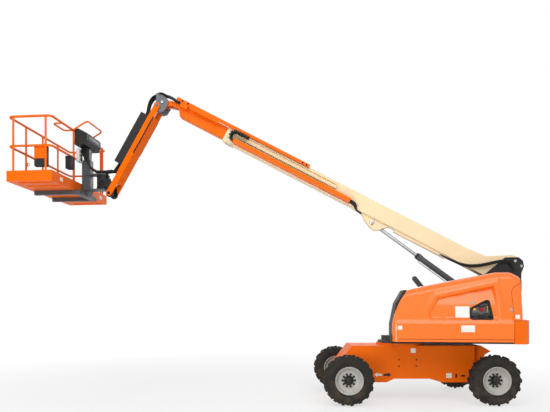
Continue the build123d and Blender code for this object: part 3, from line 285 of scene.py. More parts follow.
# %% [markdown]
# Each finish is named for what it is. The orange is a gloss powder coat, the hoods are moulded
# plastic in the same orange with a deeper shine, the boom is a cream enamel, and the dark parts
# are satin black steel. Rubber is matt and dusty, rods are hard chrome, castings are rough.

# %% The finishes
finishes = {
    "orange_paint": coated("orange_powder_coat", "#F56B05", 0.40, dust=0.03, drift=0.05, spec=0.12),
    "orange_hood": coated("orange_moulded_plastic", "#F97206", 0.28, ripple=0.01, coat=0.6, dust=0.02,
                          drift=0.04),
    "orange_cast": coated("orange_painted_casting", "#F06A08", 0.46, dust=0.04, ripple_mm=90.0,
                          ripple=0.08, spec=0.15),
    "cream_paint": coated("cream_boom_enamel", "#EFD7AD", 0.36, coat=0.2, dust=0.08, drift=0.05),
    "dark_paint": coated("satin_black_steel", "#141416", 0.45, drift=0.25, dust=0.20, dust_top=3.0),
    "grey_paint": coated("slate_grey_enamel", "#4A4C4F", 0.42, drift=0.15, dust=0.15, dust_top=3.0),
    "rim_paint": coated("pale_grey_rim_enamel", "#B9B7B0", 0.40, dust=0.35, dust_top=1.0, drift=0.10),
    "tyre_rubber": coated("dusty_tyre_rubber", "#201D1A", 0.80, ripple_mm=40.0, ripple=0.15, dust=0.55,
                          dust_top=0.9, drift=0.25, dust_colour="#6B5B4B"),
    "rod_chrome": coated("hard_chrome", "#A6A8AC", 0.24, ripple=0.02, metal=1.0, dust=0.05, drift=0.04),
    "black_plastic": coated("black_moulded_plastic", "#1D1D1E", 0.52, ripple_mm=40.0, ripple=0.08,
                            drift=0.2, dust=0.15, dust_top=3.0),
    "white_plastic": coated("white_moulded_plastic", "#E2E1DC", 0.45, dust=0.10, dust_top=6.0, drift=0.04),
    "engine_alloy": coated("cast_engine_alloy", "#5B5C5C", 0.50, ripple_mm=40.0, ripple=0.2, metal=0.6,
                           dust=0.3, dust_top=2.0, drift=0.25),
}
print("finishes", len(finishes))

# %% [markdown]
# A few small pieces need finishes of their own: label film, bare steel for pins, hose rubber, red and
# yellow for controls, a lamp lens, black for the gasket and the dark arrows that also serves as painted
# shade in slots and holes, and the shade in a seam. `SLOTS` says which slot of the record each of them
# counts to. The jib's head is a paler grey and its arm a duller orange.

# %% Extra finishes
finishes.update({
    "pale_grey": coated("pale_grey_enamel", "#6C6E75", 0.42, drift=0.12, dust=0.10, dust_top=6.0),
    "orange_satin": coated("orange_satin_coat", "#F56B05", 0.50, dust=0.03, drift=0.05, spec=0.04),
    "label_film": coated("white_label_film", "#E9E8E2", 0.45, ripple=0.0, dust=0.06, drift=0.03),
    "bare_steel": coated("bare_turned_steel", "#B4B3B0", 0.30, metal=0.9, ripple=0.05, dust=0.1, drift=0.1),
    "hose_rubber": coated("black_hose_rubber", "#171718", 0.60, ripple_mm=30.0, ripple=0.15, drift=0.2,
                          dust=0.12, dust_top=6.0),
    "stop_red": coated("red_control_plastic", "#B3120F", 0.35, ripple=0.0, dust=0.04, drift=0.05),
    "pedal_yellow": coated("yellow_control_plastic", "#E3B21B", 0.40, ripple=0.0, dust=0.15, dust_top=6.0),
    "lamp_red": coated("red_lamp_lens", "#5C0C0C", 0.18, ripple=0.0, coat=0.5, dust=0.03, drift=0.05),
    "seam_shade": coated("orange_in_shadow", "#A8410A", 0.60, ripple=0.0, dust=0.05, drift=0.05, spec=0.1),
    # Painted shade: this black is also laid where slots and holes lie in shade; on the gasket and the arrows it is
    # their own black.
    "black_and_painted_shade": coated("black_trim_and_painted_shade", "#121213", 0.55, ripple=0.0, dust=0.1, dust_top=3.0, drift=0.1),
})
SLOTS = {"pale_grey": "grey_paint", "label_film": "white_plastic", "bare_steel": "rod_chrome",
         "hose_rubber": "black_plastic", "stop_red": "orange_paint", "pedal_yellow": "orange_paint",
         "lamp_red": "black_plastic", "seam_shade": "dark_paint", "black_and_painted_shade": "dark_paint"}
OWN_FINISH = {"jib_head": "pale_grey", "jib_arm": "orange_satin"}
for part in frame["record"]["subparts"]:
    mesh = nodes[part["node"]].data
    mesh.materials.clear()
    mesh.materials.append(finishes[OWN_FINISH.get(part["node"], part["material_slot"])])
print("finishes with the small ones", len(finishes))

# %% [markdown]
# ## Surfaces from arrays
# Every new piece is a grid of points worked out at once with numpy. `skin` turns a grid into vertices
# and quads, and `carry` moves a flat profile along a path, as an extruder or a bender would.

# %% Grid tools
def skin(points, close_u=False, close_v=False, caps=False):
    """A grid (rows, columns, 3) as vertices and quads; close_u and close_v join the last row or
    column to the first; caps closes the first and the last row with a flat face."""
    m, n = points.shape[:2]
    index = np.arange(m * n).reshape(m, n)
    if close_u:
        index = np.vstack([index, index[:1]])
    if close_v:
        index = np.hstack([index, index[:, :1]])
    quads = np.stack([index[:-1, :-1], index[1:, :-1], index[1:, 1:], index[:-1, 1:]], -1).reshape(-1, 4)
    faces = quads.tolist()
    if caps:
        faces += [index[0, :n].tolist(), index[-1, :n][::-1].tolist()]
    return points.reshape(-1, 3), faces


def unit(v):
    """Vectors divided by their length."""
    v = np.asarray(v, float)
    return v / np.maximum(np.linalg.norm(v, axis=-1, keepdims=True), 1e-12)


def carry(profile, path, up=(0, 1, 0), close=False):
    """Profile (k, 2) carried along path (m, 3): each point is path + a * side + b * rise, where the
    side is square to the path and to up, and the rise is square to both."""
    path = np.asarray(path, float)
    ahead = unit(np.gradient(path, axis=0))
    side = unit(np.cross(ahead, np.asarray(up, float)))
    rise = np.cross(side, ahead)
    profile = np.asarray(profile, float)
    grid = path[:, None] + profile[None, :, :1] * side[:, None] + profile[None, :, 1:] * rise[:, None]
    return skin(grid, close_u=close, close_v=True, caps=not close)


def ring(radius, count=16):
    """Round profile: cosine and sine of even angles, times the radius."""
    a = np.arange(count) * 2 * np.pi / count
    return radius * np.stack([np.cos(a), np.sin(a)], -1)


print("grid tools ready")

# %% [markdown]
# `lathe` turns a profile round an axis, as on a real lathe. `block` is a box with rolled edges, the way
# sawn and broken stock looks; `blocks` reads several of them from a table.

# %% Turned pieces and blocks
def lathe(profile, origin, axis, count=48):
    """Profile (k, 2) of radius and height turned round an axis through origin; a zero radius at an
    end closes the piece there."""
    axis = unit(axis)
    across = unit(np.cross(axis, (0.31, 0.87, 0.39)))
    third = np.cross(axis, across)
    a = np.arange(count) * 2 * np.pi / count
    round_dir = np.cos(a)[:, None] * across + np.sin(a)[:, None] * third
    profile = np.asarray(profile, float)
    grid = np.asarray(origin, float) + profile[:, None, :1] * round_dir + profile[:, None, 1:] * axis
    return skin(grid, close_v=True)


def block(centre, size, radius=0.004, axes=np.eye(3), steps=2):
    """Box with rolled edges: a small sphere's directions, each pushed out to its own corner of the
    box, so that the flat sides open between the corners."""
    quarter = np.linspace(0, np.pi / 2, steps + 1)
    lon = np.concatenate([quarter + k * np.pi / 2 for k in range(4)])
    lat = np.concatenate([quarter - np.pi / 2, quarter])
    sign_u = np.repeat([[1, 1], [-1, 1], [-1, -1], [1, -1]], steps + 1, axis=0)
    sign_w = np.repeat([-1, 1], steps + 1)
    core = np.asarray(size, float) / 2 - radius
    x = radius * np.cos(lat)[:, None] * np.cos(lon) + core[0] * sign_u[:, 0]
    y = radius * np.cos(lat)[:, None] * np.sin(lon) + core[1] * sign_u[:, 1]
    z = (radius * np.sin(lat) + core[2] * sign_w)[:, None] + 0 * x
    grid = np.stack([x, y, z], -1) @ np.asarray(axes, float) + np.asarray(centre, float)
    return skin(grid, close_v=True, caps=True)


def blocks(rows, place=on_turret, axes=np.eye(3)):
    """Blocks from a table: each row is a place (x, y, z), a size (x, y, z) and an edge radius."""
    return [block(place(row[:3]), row[3:6], row[6], axes) for row in rows]


print("lathe and blocks ready")

# %% [markdown]
# `piece` joins such skins into one object at the origin, gives it a finish and lets it ride on a body of
# the machine, so that it follows every joint below it.

# %% Pieces
def join(skins):
    """Several skins as one list of vertices and faces."""
    points, faces, base = [], [], 0
    for p, f in skins:
        points.append(p)
        faces += [[i + base for i in face] for face in f]
        base += len(p)
    return np.concatenate(points), faces


def piece(name, skins, finish, body, slot=None, smooth=40.0, replaces=(), turn=True):
    """One object from skins: doubles merged, faces turned outwards, smooth up to an angle; the slot worked out
    from the finish or from slot is not stored."""
    slot = slot or SLOTS.get(finish, finish)
    points, faces = join(skins)
    mesh = bpy.data.meshes.new(name)
    mesh.from_pydata(points.tolist(), [], faces)
    work = bmesh.new()
    work.from_mesh(mesh)
    bmesh.ops.remove_doubles(work, verts=work.verts, dist=1e-5)
    if turn:
        bmesh.ops.recalc_face_normals(work, faces=work.faces)
    work.to_mesh(mesh)
    work.free()
    mesh.materials.append(finishes[finish])
    mesh.shade_smooth()
    mesh.set_sharp_from_angle(angle=math.radians(smooth))
    obj = bpy.data.objects.new(name, mesh)
    bpy.context.scene.collection.objects.link(obj)
    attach(obj, body)
    if replaces:
        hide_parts(*replaces)
    print(name, len(mesh.polygons), "faces on", body)


print("pieces ready")

# %% [markdown]
# ## Tyres
# A rough-terrain tyre is a round carcass with two rows of thick bars that meet like a chevron and
# turn down over the shoulder. The carcass is turned on the lathe; a bar is a tapered profile carried
# from the middle of the tread outwards and down the shoulder, and all bars are bent round together.

# %% Tyre and wheel surfaces
TYRE_R, RIM_R, WHEEL_Z, TRACK_Y = 0.4252, 0.235, 0.426, 1.005
DRIVE_X, STEER_X = -1.084, 1.356
BARS, BAR_MIDDLE_R = 17, 0.41


def on_wheel(skins, x, side):
    """Skins measured from a wheel's middle (x, outwards, z), set on the axle at x on one side."""
    middle = np.array([x, side * TRACK_Y, WHEEL_Z])
    return [(on_chassis(p * (1, side, 1) + middle), f) for p, f in skins]


def carcass():
    """Tyre body: a profile of radius and half width, swelling at the sidewall, with two thin ribs."""
    half = np.array([(RIM_R, 0.125), (0.243, 0.133), (0.252, 0.129), (0.262, 0.137), (0.290, 0.1445),
                     (0.315, 0.1462), (0.320, 0.1482), (0.326, 0.1462), (0.350, 0.142), (0.372, 0.132),
                     (0.390, 0.116), (0.400, 0.094), (0.4025, 0.05)])
    full = np.concatenate([half, half[::-1] * (1, -1)])
    inner = np.array([(RIM_R - 0.004, -0.118), (RIM_R - 0.004, 0.118), (RIM_R, 0.125)])
    return lathe(np.concatenate([full, inner]), (0, 0, 0), (0, 1, 0), count=96)


def tread_bars():
    """Bars: along s the path leaves the tread's middle, runs out and turns down the shoulder; across
    it stands a tapered profile; then the sheet is bent round the wheel, radius = base + height,
    angle = arc / middle radius, once for each bar, the two rows half a pitch apart."""
    reach = np.array([-0.006, 0.03, 0.07, 0.104, 0.126, 0.140, 0.1475, 0.1492])
    base = np.array([0.398, 0.398, 0.397, 0.392, 0.380, 0.362, 0.340, 0.322])
    rise = np.array([TYRE_R - 0.398, TYRE_R - 0.398, TYRE_R - 0.397, 0.029, 0.024, 0.014, 0.006, 0.001])
    lean = np.array([0.0, 0.006, 0.018, 0.030, 0.036, 0.036, 0.034, 0.034]) * 1.25
    wide = np.array([0.036, 0.040, 0.044, 0.047, 0.049, 0.050, 0.050, 0.046])
    foot, top = wide / 2 * 1.18, wide / 2 * 0.86
    arc = lean[:, None] + np.stack([-foot, -top * 1.04, -top * 0.9, top * 0.9, top * 1.04, foot], 1)
    up = rise[:, None] * np.array([-0.3, 0.82, 1.0, 1.0, 0.82, -0.3])
    radius = base[:, None] + up
    across = reach[:, None] + 0 * arc
    pitch = 2 * np.pi / BARS
    skins = []
    for half, phase in ((1, 0.0), (-1, 0.5)):
        for k in range(BARS):
            angle = arc / BAR_MIDDLE_R + (k + phase) * pitch
            grid = np.stack([radius * np.sin(angle), half * across, radius * np.cos(angle)], -1)
            skins.append(skin(grid, caps=True, close_v=True))
    return skins


WHEELS = (  # name, axle x, side
    ("front_near", DRIVE_X, -1), ("front_far", DRIVE_X, 1),
    ("rear_near", STEER_X, -1), ("rear_far", STEER_X, 1),
)
tyre = [carcass()] + tread_bars()
for name, x, side in WHEELS:
    piece(f"tyre_skin_{name}", on_wheel(tyre, x, side), "tyre_rubber", f"wheel_{name}", smooth=35,
          replaces=[f"tyre_{name}"])

# %% [markdown]
# The rim is a pressed and welded steel dish, painted pale grey. Its flange rolls out over the tyre's
# bead, the well steps inwards, and a dark hub with a ring of nuts stands in the middle.

# %% Rims, hubs and nuts
NUTS, NUT_RING, WHEEL_AXIS = 10, 0.104, (0, 1, 0)
RIM_PROFILE = [  # (radius, outwards) from the rolled flange down the stepped barrel to the disc and back
    (0.2346, 0.118), (0.2346, 0.130), (0.2300, 0.1345), (0.2240, 0.1330), (0.2215, 0.126), (0.2185, 0.110),
    (0.2080, 0.100), (0.2060, 0.082), (0.2010, 0.070), (0.1760, 0.046), (0.1650, 0.034), (0.1500, 0.031),
    (0.0640, 0.031), (0.0640, 0.010), (0.2000, 0.010), (0.2200, 0.060), (0.2200, -0.120), (0.2346, -0.120),
    (0.2346, 0.118)]
HUB_PROFILE = [(0.0, 0.117), (0.026, 0.117), (0.036, 0.112), (0.040, 0.098), (0.052, 0.094), (0.058, 0.088),
               (0.060, 0.074), (0.066, 0.044), (0.082, 0.040), (0.084, 0.026), (0.118, 0.026),
               (0.118, -0.078), (0.0, -0.078)]
NUT_PROFILE = [(0.021, -0.004), (0.021, 0.004), (0.0165, 0.004), (0.0165, 0.024), (0.013, 0.028),
               (0.0085, 0.028), (0.0085, 0.040), (0.0, 0.041)]
dish = lathe(RIM_PROFILE, (0, 0, 0), WHEEL_AXIS, 72)
hub = lathe(HUB_PROFILE, (0, 0, 0), WHEEL_AXIS, 48)
stem = carry(ring(0.004, 8), [(0.0, 0.045, 0.190), (0, 0.075, 0.185), (0, 0.098, 0.178)], (1, 0, 0))
around = np.arange(NUTS) * 2 * np.pi / NUTS
spots = np.stack([NUT_RING * np.cos(around), 0 * around + 0.033, NUT_RING * np.sin(around)], -1)
nuts = [lathe(NUT_PROFILE, spot, WHEEL_AXIS, 6) for spot in spots]
for name, x, side in WHEELS:
    body = f"wheel_{name}"
    piece(f"rim_skin_{name}", on_wheel([dish], x, side), "rim_paint", body, smooth=30, replaces=[body])
    piece(f"hub_{name}", on_wheel([hub, stem] + nuts, x, side), "dark_paint", body, smooth=30)

# %% [markdown]
# ## Small fittings
# A bolt is a washer turned on the lathe with a six-sided head on it. A pin end is a turned disc with
# a centre hole. Labels and slots are thin plates, and hoses follow a smooth curve through a few points.

# %% Bolts, pins, labels and hoses
def bolt(place, axis, r=0.012):
    """Washer of 1.5 radii and hexagon head: two lathe profiles on one axis, the head of six steps."""
    washer = lathe([(1.5 * r, 0), (1.5 * r, 0.2 * r), (0, 0.2 * r)], place, axis, count=16)
    head = lathe([(r, 0), (r, 0.75 * r), (0.86 * r, 0.9 * r), (0, 0.9 * r)], place, axis, count=6)
    return [washer, head]


def bolts(places, axis, r=0.012):
    """A bolt at each of the places, all on one axis."""
    return [made for place in places for made in bolt(place, axis, r)]


def pin_end(place, axis, r, high=0.014):
    """Turned pin end: a disc with a broken edge and a centre hole."""
    return [lathe([(r, -0.004), (r, 0.75 * high), (0.9 * r, high), (0.22 * r, high), (0.15 * r, 0.5 * high),
                   (0, 0.5 * high)], place, axis, count=32)]


def smooth_path(points, count=10):
    """Curve of quadratic arcs: each inner point pulls an arc that runs between the middles of the two
    spans beside it; the first and the last point are ends."""
    p = np.asarray(points, float)
    middles = (p[1:-2] + p[2:-1]) / 2 if len(p) > 3 else np.empty((0, 3))
    starts = np.concatenate([p[:1], middles])
    ends = np.concatenate([middles, p[-1:]])
    t = np.linspace(0, 1, count, endpoint=False)[:, None]
    arcs = [(1 - t) ** 2 * a + 2 * t * (1 - t) * c + t ** 2 * b for a, c, b in zip(starts, p[1:-1], ends)]
    return np.concatenate(arcs + [p[-1:]])


def hose(points, r, count=10, sides=10):
    """Round profile of radius r carried along a smooth path."""
    return carry(ring(r, sides), smooth_path(points, count), up=(0.13, 0.97, 0.2))


def plate(outline, low, high, place):
    """Flat plate: outline points (k, 2) at two heights, bevelled by drawing the upper rim in by a fifth
    of the thickness; place turns (first, second, height) into the frame."""
    outline = np.asarray(outline, float)
    middle = outline.mean(0)
    inner = outline + unit(middle - outline) * abs(high - low) * 0.2
    rows = [np.column_stack([o, np.full(len(o), h)]) for o, h in
            ((outline, low), (outline, low + 0.8 * (high - low)), (inner, high))]
    return skin(place(np.stack(rows)), close_v=True, caps=True)


def slot_outline(length, high, count=12):
    """Obround: two half circles joined by straight sides."""
    a = np.linspace(-np.pi / 2, np.pi / 2, count)
    end = np.stack([np.cos(a), np.sin(a)], -1) * high / 2 + ((length - high) / 2, 0)
    return np.concatenate([end, -end])


def sideways(place, side):
    """Placing for a plate that faces sideways: its flat (first, second, height) grid becomes
    (first, side times height, second) in the measures that place takes."""
    return lambda g: place(np.stack([g[..., 0], side * g[..., 2], g[..., 1]], -1))


def near_and_far(make):
    """The same skins on both sides: make is called with -1 for the near and 1 for the far side."""
    return make(-1) + make(1)


print("fittings ready")

# %% [markdown]
# ## Hoods
# The hoods are thin mouldings. A raised lip runs round a sunk side panel like an eyebrow, the vent
# window has a rubber gasket, thin seams part the mouldings, and each hood has two round latches. All of
# it follows the hood's side, which is upright to the crease and leans in above it. One formula gives
# that side, so the shell and everything laid on it agree.

# %% Hood side
BAND_Z, HOOD_Y, PANEL_DEPTH = 1.385, 1.020, 0.028
TAIL_FROM, TAIL_X, TAIL_R, NOSE, CORNER_R, INNER_Y = 1.83, 1.885, 0.055, 0.2, 0.085, 0.432
STEP_X, STEP_ROWS = 1.727, (1.7269, 1.7271)  # the lower edge steps up over the counterweight
DECK_Z, STEP_Z = 1.0675, 1.427
WINDOW = np.array([(1.047, 1.449), (1.047, 1.620), (1.307, 1.754), (1.350, 1.754), (1.402, 1.449)])
FRONTS = {"near": (-1, -0.24), "far": (1, -0.01)}  # side, x of the hood's front
PANEL = np.array([(0.36, 1.44), (0.37, 1.56), (0.515, 1.80), (1.44, 2.00), (1.52, 1.44)])


def soft_step(v):
    """Smooth step from 0 to 1: three squares less two cubes of v, held to its ends."""
    v = np.clip(v, 0, 1)
    return v * v * (3 - 2 * v)


def inside(x, z, outline):
    """Distance inwards from the nearest side of a convex outline, negative outside it."""
    ends = np.roll(outline, -1, axis=0)
    way = unit(ends - outline)
    gaps = [(x - p[0]) * d[1] - (z - p[1]) * d[0] for p, d in zip(outline, way)]
    return np.min(gaps, axis=0)


def side_lean(z):
    """How far the hood's side has leaned in at height z: upright, a short step at the crease, a lean."""
    return np.interp(z, [BAND_Z - 0.01, BAND_Z + 0.045, 2.30], [0, 0.03, 0.162])


def side_out(x, z):
    """Outward distance of a hood's side at (x, z): its lean, less the round tail and the sunk panel,
    plus the lip round it. The panel sinks deeper towards its top, so it leans back to the sky."""
    x, z = np.asarray(x, float), np.asarray(z, float)
    deep = inside(x + 0 * z, z + 0 * x, PANEL)
    tail = TAIL_R * (1 - np.sqrt(1 - np.clip((x - TAIL_FROM) / TAIL_R, 0, 1) ** 2))
    sunk = PANEL_DEPTH + 0.062 * soft_step((z - 1.66) / 0.36)
    lip = 0.013 * np.exp(-((deep + 0.050) / 0.030) ** 2) * soft_step((z - 1.50) / 0.18)
    lip = lip * soft_step((1.80 - x) / 0.12)
    return HOOD_Y - side_lean(z) - tail - sunk * soft_step((deep + 0.004) / 0.034) + lip


def on_hood(xz, side, lift=0.0):
    """Points (x, z) laid on the hood's side, lifted off it by lift."""
    xz = np.asarray(xz, float)
    x, z = xz[..., 0], xz[..., 1]
    return on_turret(np.stack([x, side * (side_out(x, z) + lift), z], -1))


print("hood side at the crease", float(side_out(0.2, BAND_Z)))

# %% [markdown]
# The shell is one grid: ribs climb the side, roll over the shoulder and run in along the top. A second
# grid, one wall further in, and a strip round the edge close it, and the vent window is left out.

# %% Hood shells
def hood_grid(side, front):
    """Outer skin over x and a rib parameter. A rib climbs the side, which leans in above the crease,
    turns over a round shoulder and runs in along the top; the plan corner is a quarter circle."""
    nose = front + NOSE * np.linspace(0, 1, 26) ** 1.5
    x = np.unique(np.concatenate([nose, np.arange(front + NOSE, 1.72, 0.0115), STEP_ROWS,
                                  np.linspace(1.735, TAIL_X, 18)]))
    spread = np.linspace(-0.045, 0.045, 9)[:, None]
    crown = np.interp(x + spread, [front, front + 0.07, front + NOSE, 1.5, 1.74, TAIL_X],
                      [1.35, 1.709, 1.94, 2.237, 2.237, 2.152])
    crown = np.minimum(crown.mean(0), crown[4])
    low = np.where(x < STEP_X, DECK_Z, STEP_Z)
    roll = np.clip((crown - 1.28) * 0.30, 0.03, 0.14)
    share = np.linspace(0, 1, 48)[:, None]
    z = low + share * (crown - roll - low)
    corner = CORNER_R * (1 - np.sqrt(1 - np.clip(1 - (x - front) / CORNER_R, 0, 1) ** 2))
    out = side_out(x, z) - corner
    a = np.linspace(0, np.pi / 2, 12)[1:, None]
    z_roll = crown - roll + roll * np.sin(a)
    out_roll = out[-1] - 1.25 * roll * (1 - np.cos(a))
    run = np.linspace(0, 1, 7)[1:, None]
    out_top = out_roll[-1] * (1 - run) + INNER_Y * run
    z_all = np.concatenate([z, z_roll, crown + 0 * run])
    return np.stack([x + 0 * z_all, side * np.concatenate([out, out_roll, out_top]), z_all], -1)


def hood_shell(side, front, thick=0.012):
    """Closed shell: the outer grid, the same grid moved in along its normals, a strip along all four
    edges and a flat end at the tail; quads inside the vent window are left out."""
    grid = hood_grid(side, front)
    normal = unit(np.cross(np.gradient(grid, axis=0), np.gradient(grid, axis=1)))
    normal = normal * np.sign(normal[5, 40, 1]) * side
    inner = grid - thick * normal
    skins = []
    for surface in (grid, inner):
        points, faces = skin(on_turret(surface))
        middle = surface.reshape(-1, 3)[np.array(faces)].mean(1)
        hole = (inside(middle[:, 0], middle[:, 2], WINDOW) > 0) & (np.abs(middle[:, 1]) > 0.80)
        skins.append((points, [f for f, gone in zip(faces, hole) if not gone]))
    edges = [np.concatenate([g[0], g[1:, -1], g[-1, -2::-1], g[-2:0:-1, 0]]) for g in (grid, inner)]
    skins.append(skin(on_turret(np.stack(edges)), close_v=True))
    tail = grid[:, -1]
    foot = np.array([(tail[-1, 0], tail[-1, 1], tail[0, 2])])
    skins.append((on_turret(np.concatenate([tail, foot])), [list(range(len(tail) + 1))]))
    return skins


for name, (side, front) in FRONTS.items():
    piece(f"hood_{name}_shell", hood_shell(side, front), "orange_hood", f"hood_{name}", smooth=35,
          replaces=(f"hood_{name}",))

# %% [markdown]
# The gasket is a round cord along the window's outline, the latches are turned discs with a small
# handle, and the seams are thin half-buried ribs. Blank labels on the near side are sheets that follow it.

# %% Gaskets, latches, seams and labels
def hood_sheet(x, z, side, lift, count=8):
    """Thin closed sheet over the rectangle x, z on the hood's side: a front grid and its rim."""
    xs, zs = np.linspace(*x, count), np.linspace(*z, count)
    grid = np.stack(np.meshgrid(xs, zs, indexing="ij"), -1)
    rim = np.concatenate([grid[:, 0], grid[-1, 1:], grid[-2::-1, -1], grid[0, -2:0:-1]])
    return [skin(on_hood(grid, side, lift)),
            skin(np.stack([on_hood(rim, side, lift), on_hood(rim, side)]), close_v=True)]


def round_corners(outline, cut, count=6):
    """Closed outline whose corners are quadratic arcs that start and end a cut away from the corner."""
    before = outline + cut * unit(np.roll(outline, 1, axis=0) - outline)
    after = outline + cut * unit(np.roll(outline, -1, axis=0) - outline)
    t = np.linspace(0, 1, count)[None, :, None]
    arcs = (1 - t) ** 2 * before[:, None] + 2 * t * (1 - t) * outline[:, None] + t ** 2 * after[:, None]
    return arcs.reshape(-1, 2)


def rib(line, side, r):
    """Half-round rib carried along a line of (x, z) points on the hood's side."""
    line = np.asarray(line, float)
    t = np.linspace(0, len(line) - 1, 24)
    dense = np.stack([np.interp(t, np.arange(len(line)), line[:, k]) for k in (0, 1)], -1)
    return carry(ring(r, 12), on_hood(dense, side), up=(0, 1, 0))


LATCHES = ((1.09, 1.715), (1.70, 1.60))
LATCH_PROFILE = [(0.026, -0.004), (0.026, 0.006), (0.021, 0.010), (0.018, 0.006), (0, 0.006)]
TAIL_SEAM = [(1.735, 1.435), (1.722, 1.70), (1.710, 1.90), (1.75, 1.985), (1.86, 2.04)]
for name, (side, front) in FRONTS.items():
    body = f"hood_{name}"
    gasket = carry(ring(0.017, 10), on_hood(round_corners(WINDOW, 0.03), side), close=True)
    piece(f"{body}_gasket", [gasket], "black_and_painted_shade", body, "black_plastic")
    latches = []
    for place in on_hood(LATCHES, side):
        latches += [lathe(LATCH_PROFILE, place, (0, side, 0.1), count=28),
                    block(place + (0, side * 0.008, 0), (0.010, 0.010, 0.030), 0.003)]
    piece(f"{body}_latches", latches, "bare_steel", body)
    seams = [rib([(front + 0.10, 1.112), (1.715, 1.112)], side, 0.005), rib(TAIL_SEAM, side, 0.004)]
    piece(f"{body}_seams", seams, "seam_shade", body)
    if name == "near":
        labels = [((0.80, 1.03), (1.475, 1.66)), ((0.88, 1.10), (1.235, 1.345)),
                  ((front + 0.09, front + 0.16), (1.27, 1.335)), ((1.755, 1.825), (1.455, 1.52))]
        sheets = [made for x, z in labels for made in hood_sheet(x, z, side, 0.003)]
        piece(f"{body}_labels", sheets, "label_film", body)

# %% [markdown]
# The front of each hood is closed by a black moulding. Its sheet follows the hood's nose: upright,
# then leaning back in two steps; across, it turns round the plan corner at the outer side.

# %% Hood fronts
def front_sheet(side, front):
    """Sheet over the nose: heights along one parameter set how far back it leans, the other parameter
    runs from a flange at the inner edge out and round the corner."""
    z = np.array([1.075, 1.20, 1.35, 1.45, 1.58, 1.709, 1.79, 1.87, 1.935])
    back = np.interp(z, [1.067, 1.35, 1.709, 1.94], [0, 0, 0.07, 0.20])
    rolled = np.array([(0.07, 0.433), (0, 0.44), (0, 0.60), (0, 0.80), (0, 0.925), (0.010, 0.962),
                       (0.027, 0.990), (0.055, 1.006)])
    lean = side_lean(z)[:, None] * np.linspace(0, 1, len(rolled)) ** 3
    x = front - 0.0015 + back[:, None] + rolled[:, 0]
    y = side * (rolled[:, 1] - lean)
    return skin(on_turret(np.stack([x, y, z[:, None] + 0 * x], -1)))


for name, (side, front) in FRONTS.items():
    piece(f"hood_{name}_front", [front_sheet(side, front)], "black_plastic", f"hood_{name}", turn=False)

# %% [markdown]
# ## Turret
# Behind the vent window the engine has pulleys, a filter, a finned head, bolted covers and a few hoses.
# Only a little of it shows, so plain turned and block shapes are enough.

# %% Engine
PULLEYS = ((0.62, 1.30, 0.085), (0.66, 1.56, 0.06), (0.80, 1.42, 0.045))  # x, z, radius
COVER_BOLTS = [(x, -0.914, 1.55) for x in np.arange(0.95, 1.37, 0.07)]


def pulley(x, z, r):
    """Turned pulley: hub, web and grooved rim as shares of its radius."""
    profile = [(0, 0.035), (0.3 * r, 0.035), (0.35 * r, 0.02), (0.85 * r, 0.02), (r, 0.03), (0.92 * r, 0.015),
               (r, 0), (0, 0)]
    return lathe(profile, on_turret([x, -0.891, z]), (0, -1, 0), count=32)


engine = [pulley(*row) for row in PULLEYS]
engine += blocks([(0.95 + 0.05 * k, -0.70, 1.735, 0.018, 0.34, 0.05, 0.004) for k in range(9)])
engine += blocks([(1.15, -0.902, 1.55, 0.48, 0.024, 0.10, 0.010),
                  (1.10, -0.900, 1.25, 0.55, 0.020, 0.16, 0.008)])
piece("engine_dressing", engine + bolts(on_turret(COVER_BOLTS), (0, -1, 0), 0.010), "engine_alloy", "turret")
canister = [lathe([(0, 0.30), (0.05, 0.30), (0.075, 0.27), (0.075, 0.03), (0.05, 0), (0, 0)],
                  on_turret([1.12, -0.80, 1.765]), (1, 0, 0), count=32),
            hose(on_turret([(1.15, -0.80, 1.765), (1.05, -0.80, 1.765), (0.96, -0.82, 1.76),
                            (0.93, -0.86, 1.70), (0.93, -0.893, 1.62)]), 0.028)]
piece("engine_filter", canister, "black_plastic", "turret")
cap = lathe([(0, 0.030), (0.022, 0.030), (0.030, 0.022), (0.030, 0), (0, 0)], on_turret([1.235, -0.903, 1.605]),
            (0, -1, 0), count=24)
piece("engine_cap", [cap], "stop_red", "turret")
wires = [hose(on_turret([(1.06, -0.90, z), (1.14, -0.918, z + 0.05), (1.22, -0.918, z - 0.02),
                         (1.30, -0.918, z + 0.04), (1.39, -0.90, z)]), 0.009) for z in (1.475, 1.515, 1.655)]
piece("engine_hoses", wires, "hose_rubber", "turret")
stick = [hose(on_turret([(1.33, -0.90, 1.50), (1.335, -0.915, 1.58), (1.325, -0.905, 1.68)]), 0.007)]
stick += blocks([(1.12, -0.905, 1.61, 0.05, 0.016, 0.04, 0.005)])
piece("engine_stick", stick, "pedal_yellow", "turret")

# %% [markdown]
# The boom's pivot pin shows its turned end on each upright, with a doubler plate round it. Lamps stand
# on the tail of both hoods, and bolts hold the slewing ring where the boom leaves it open.

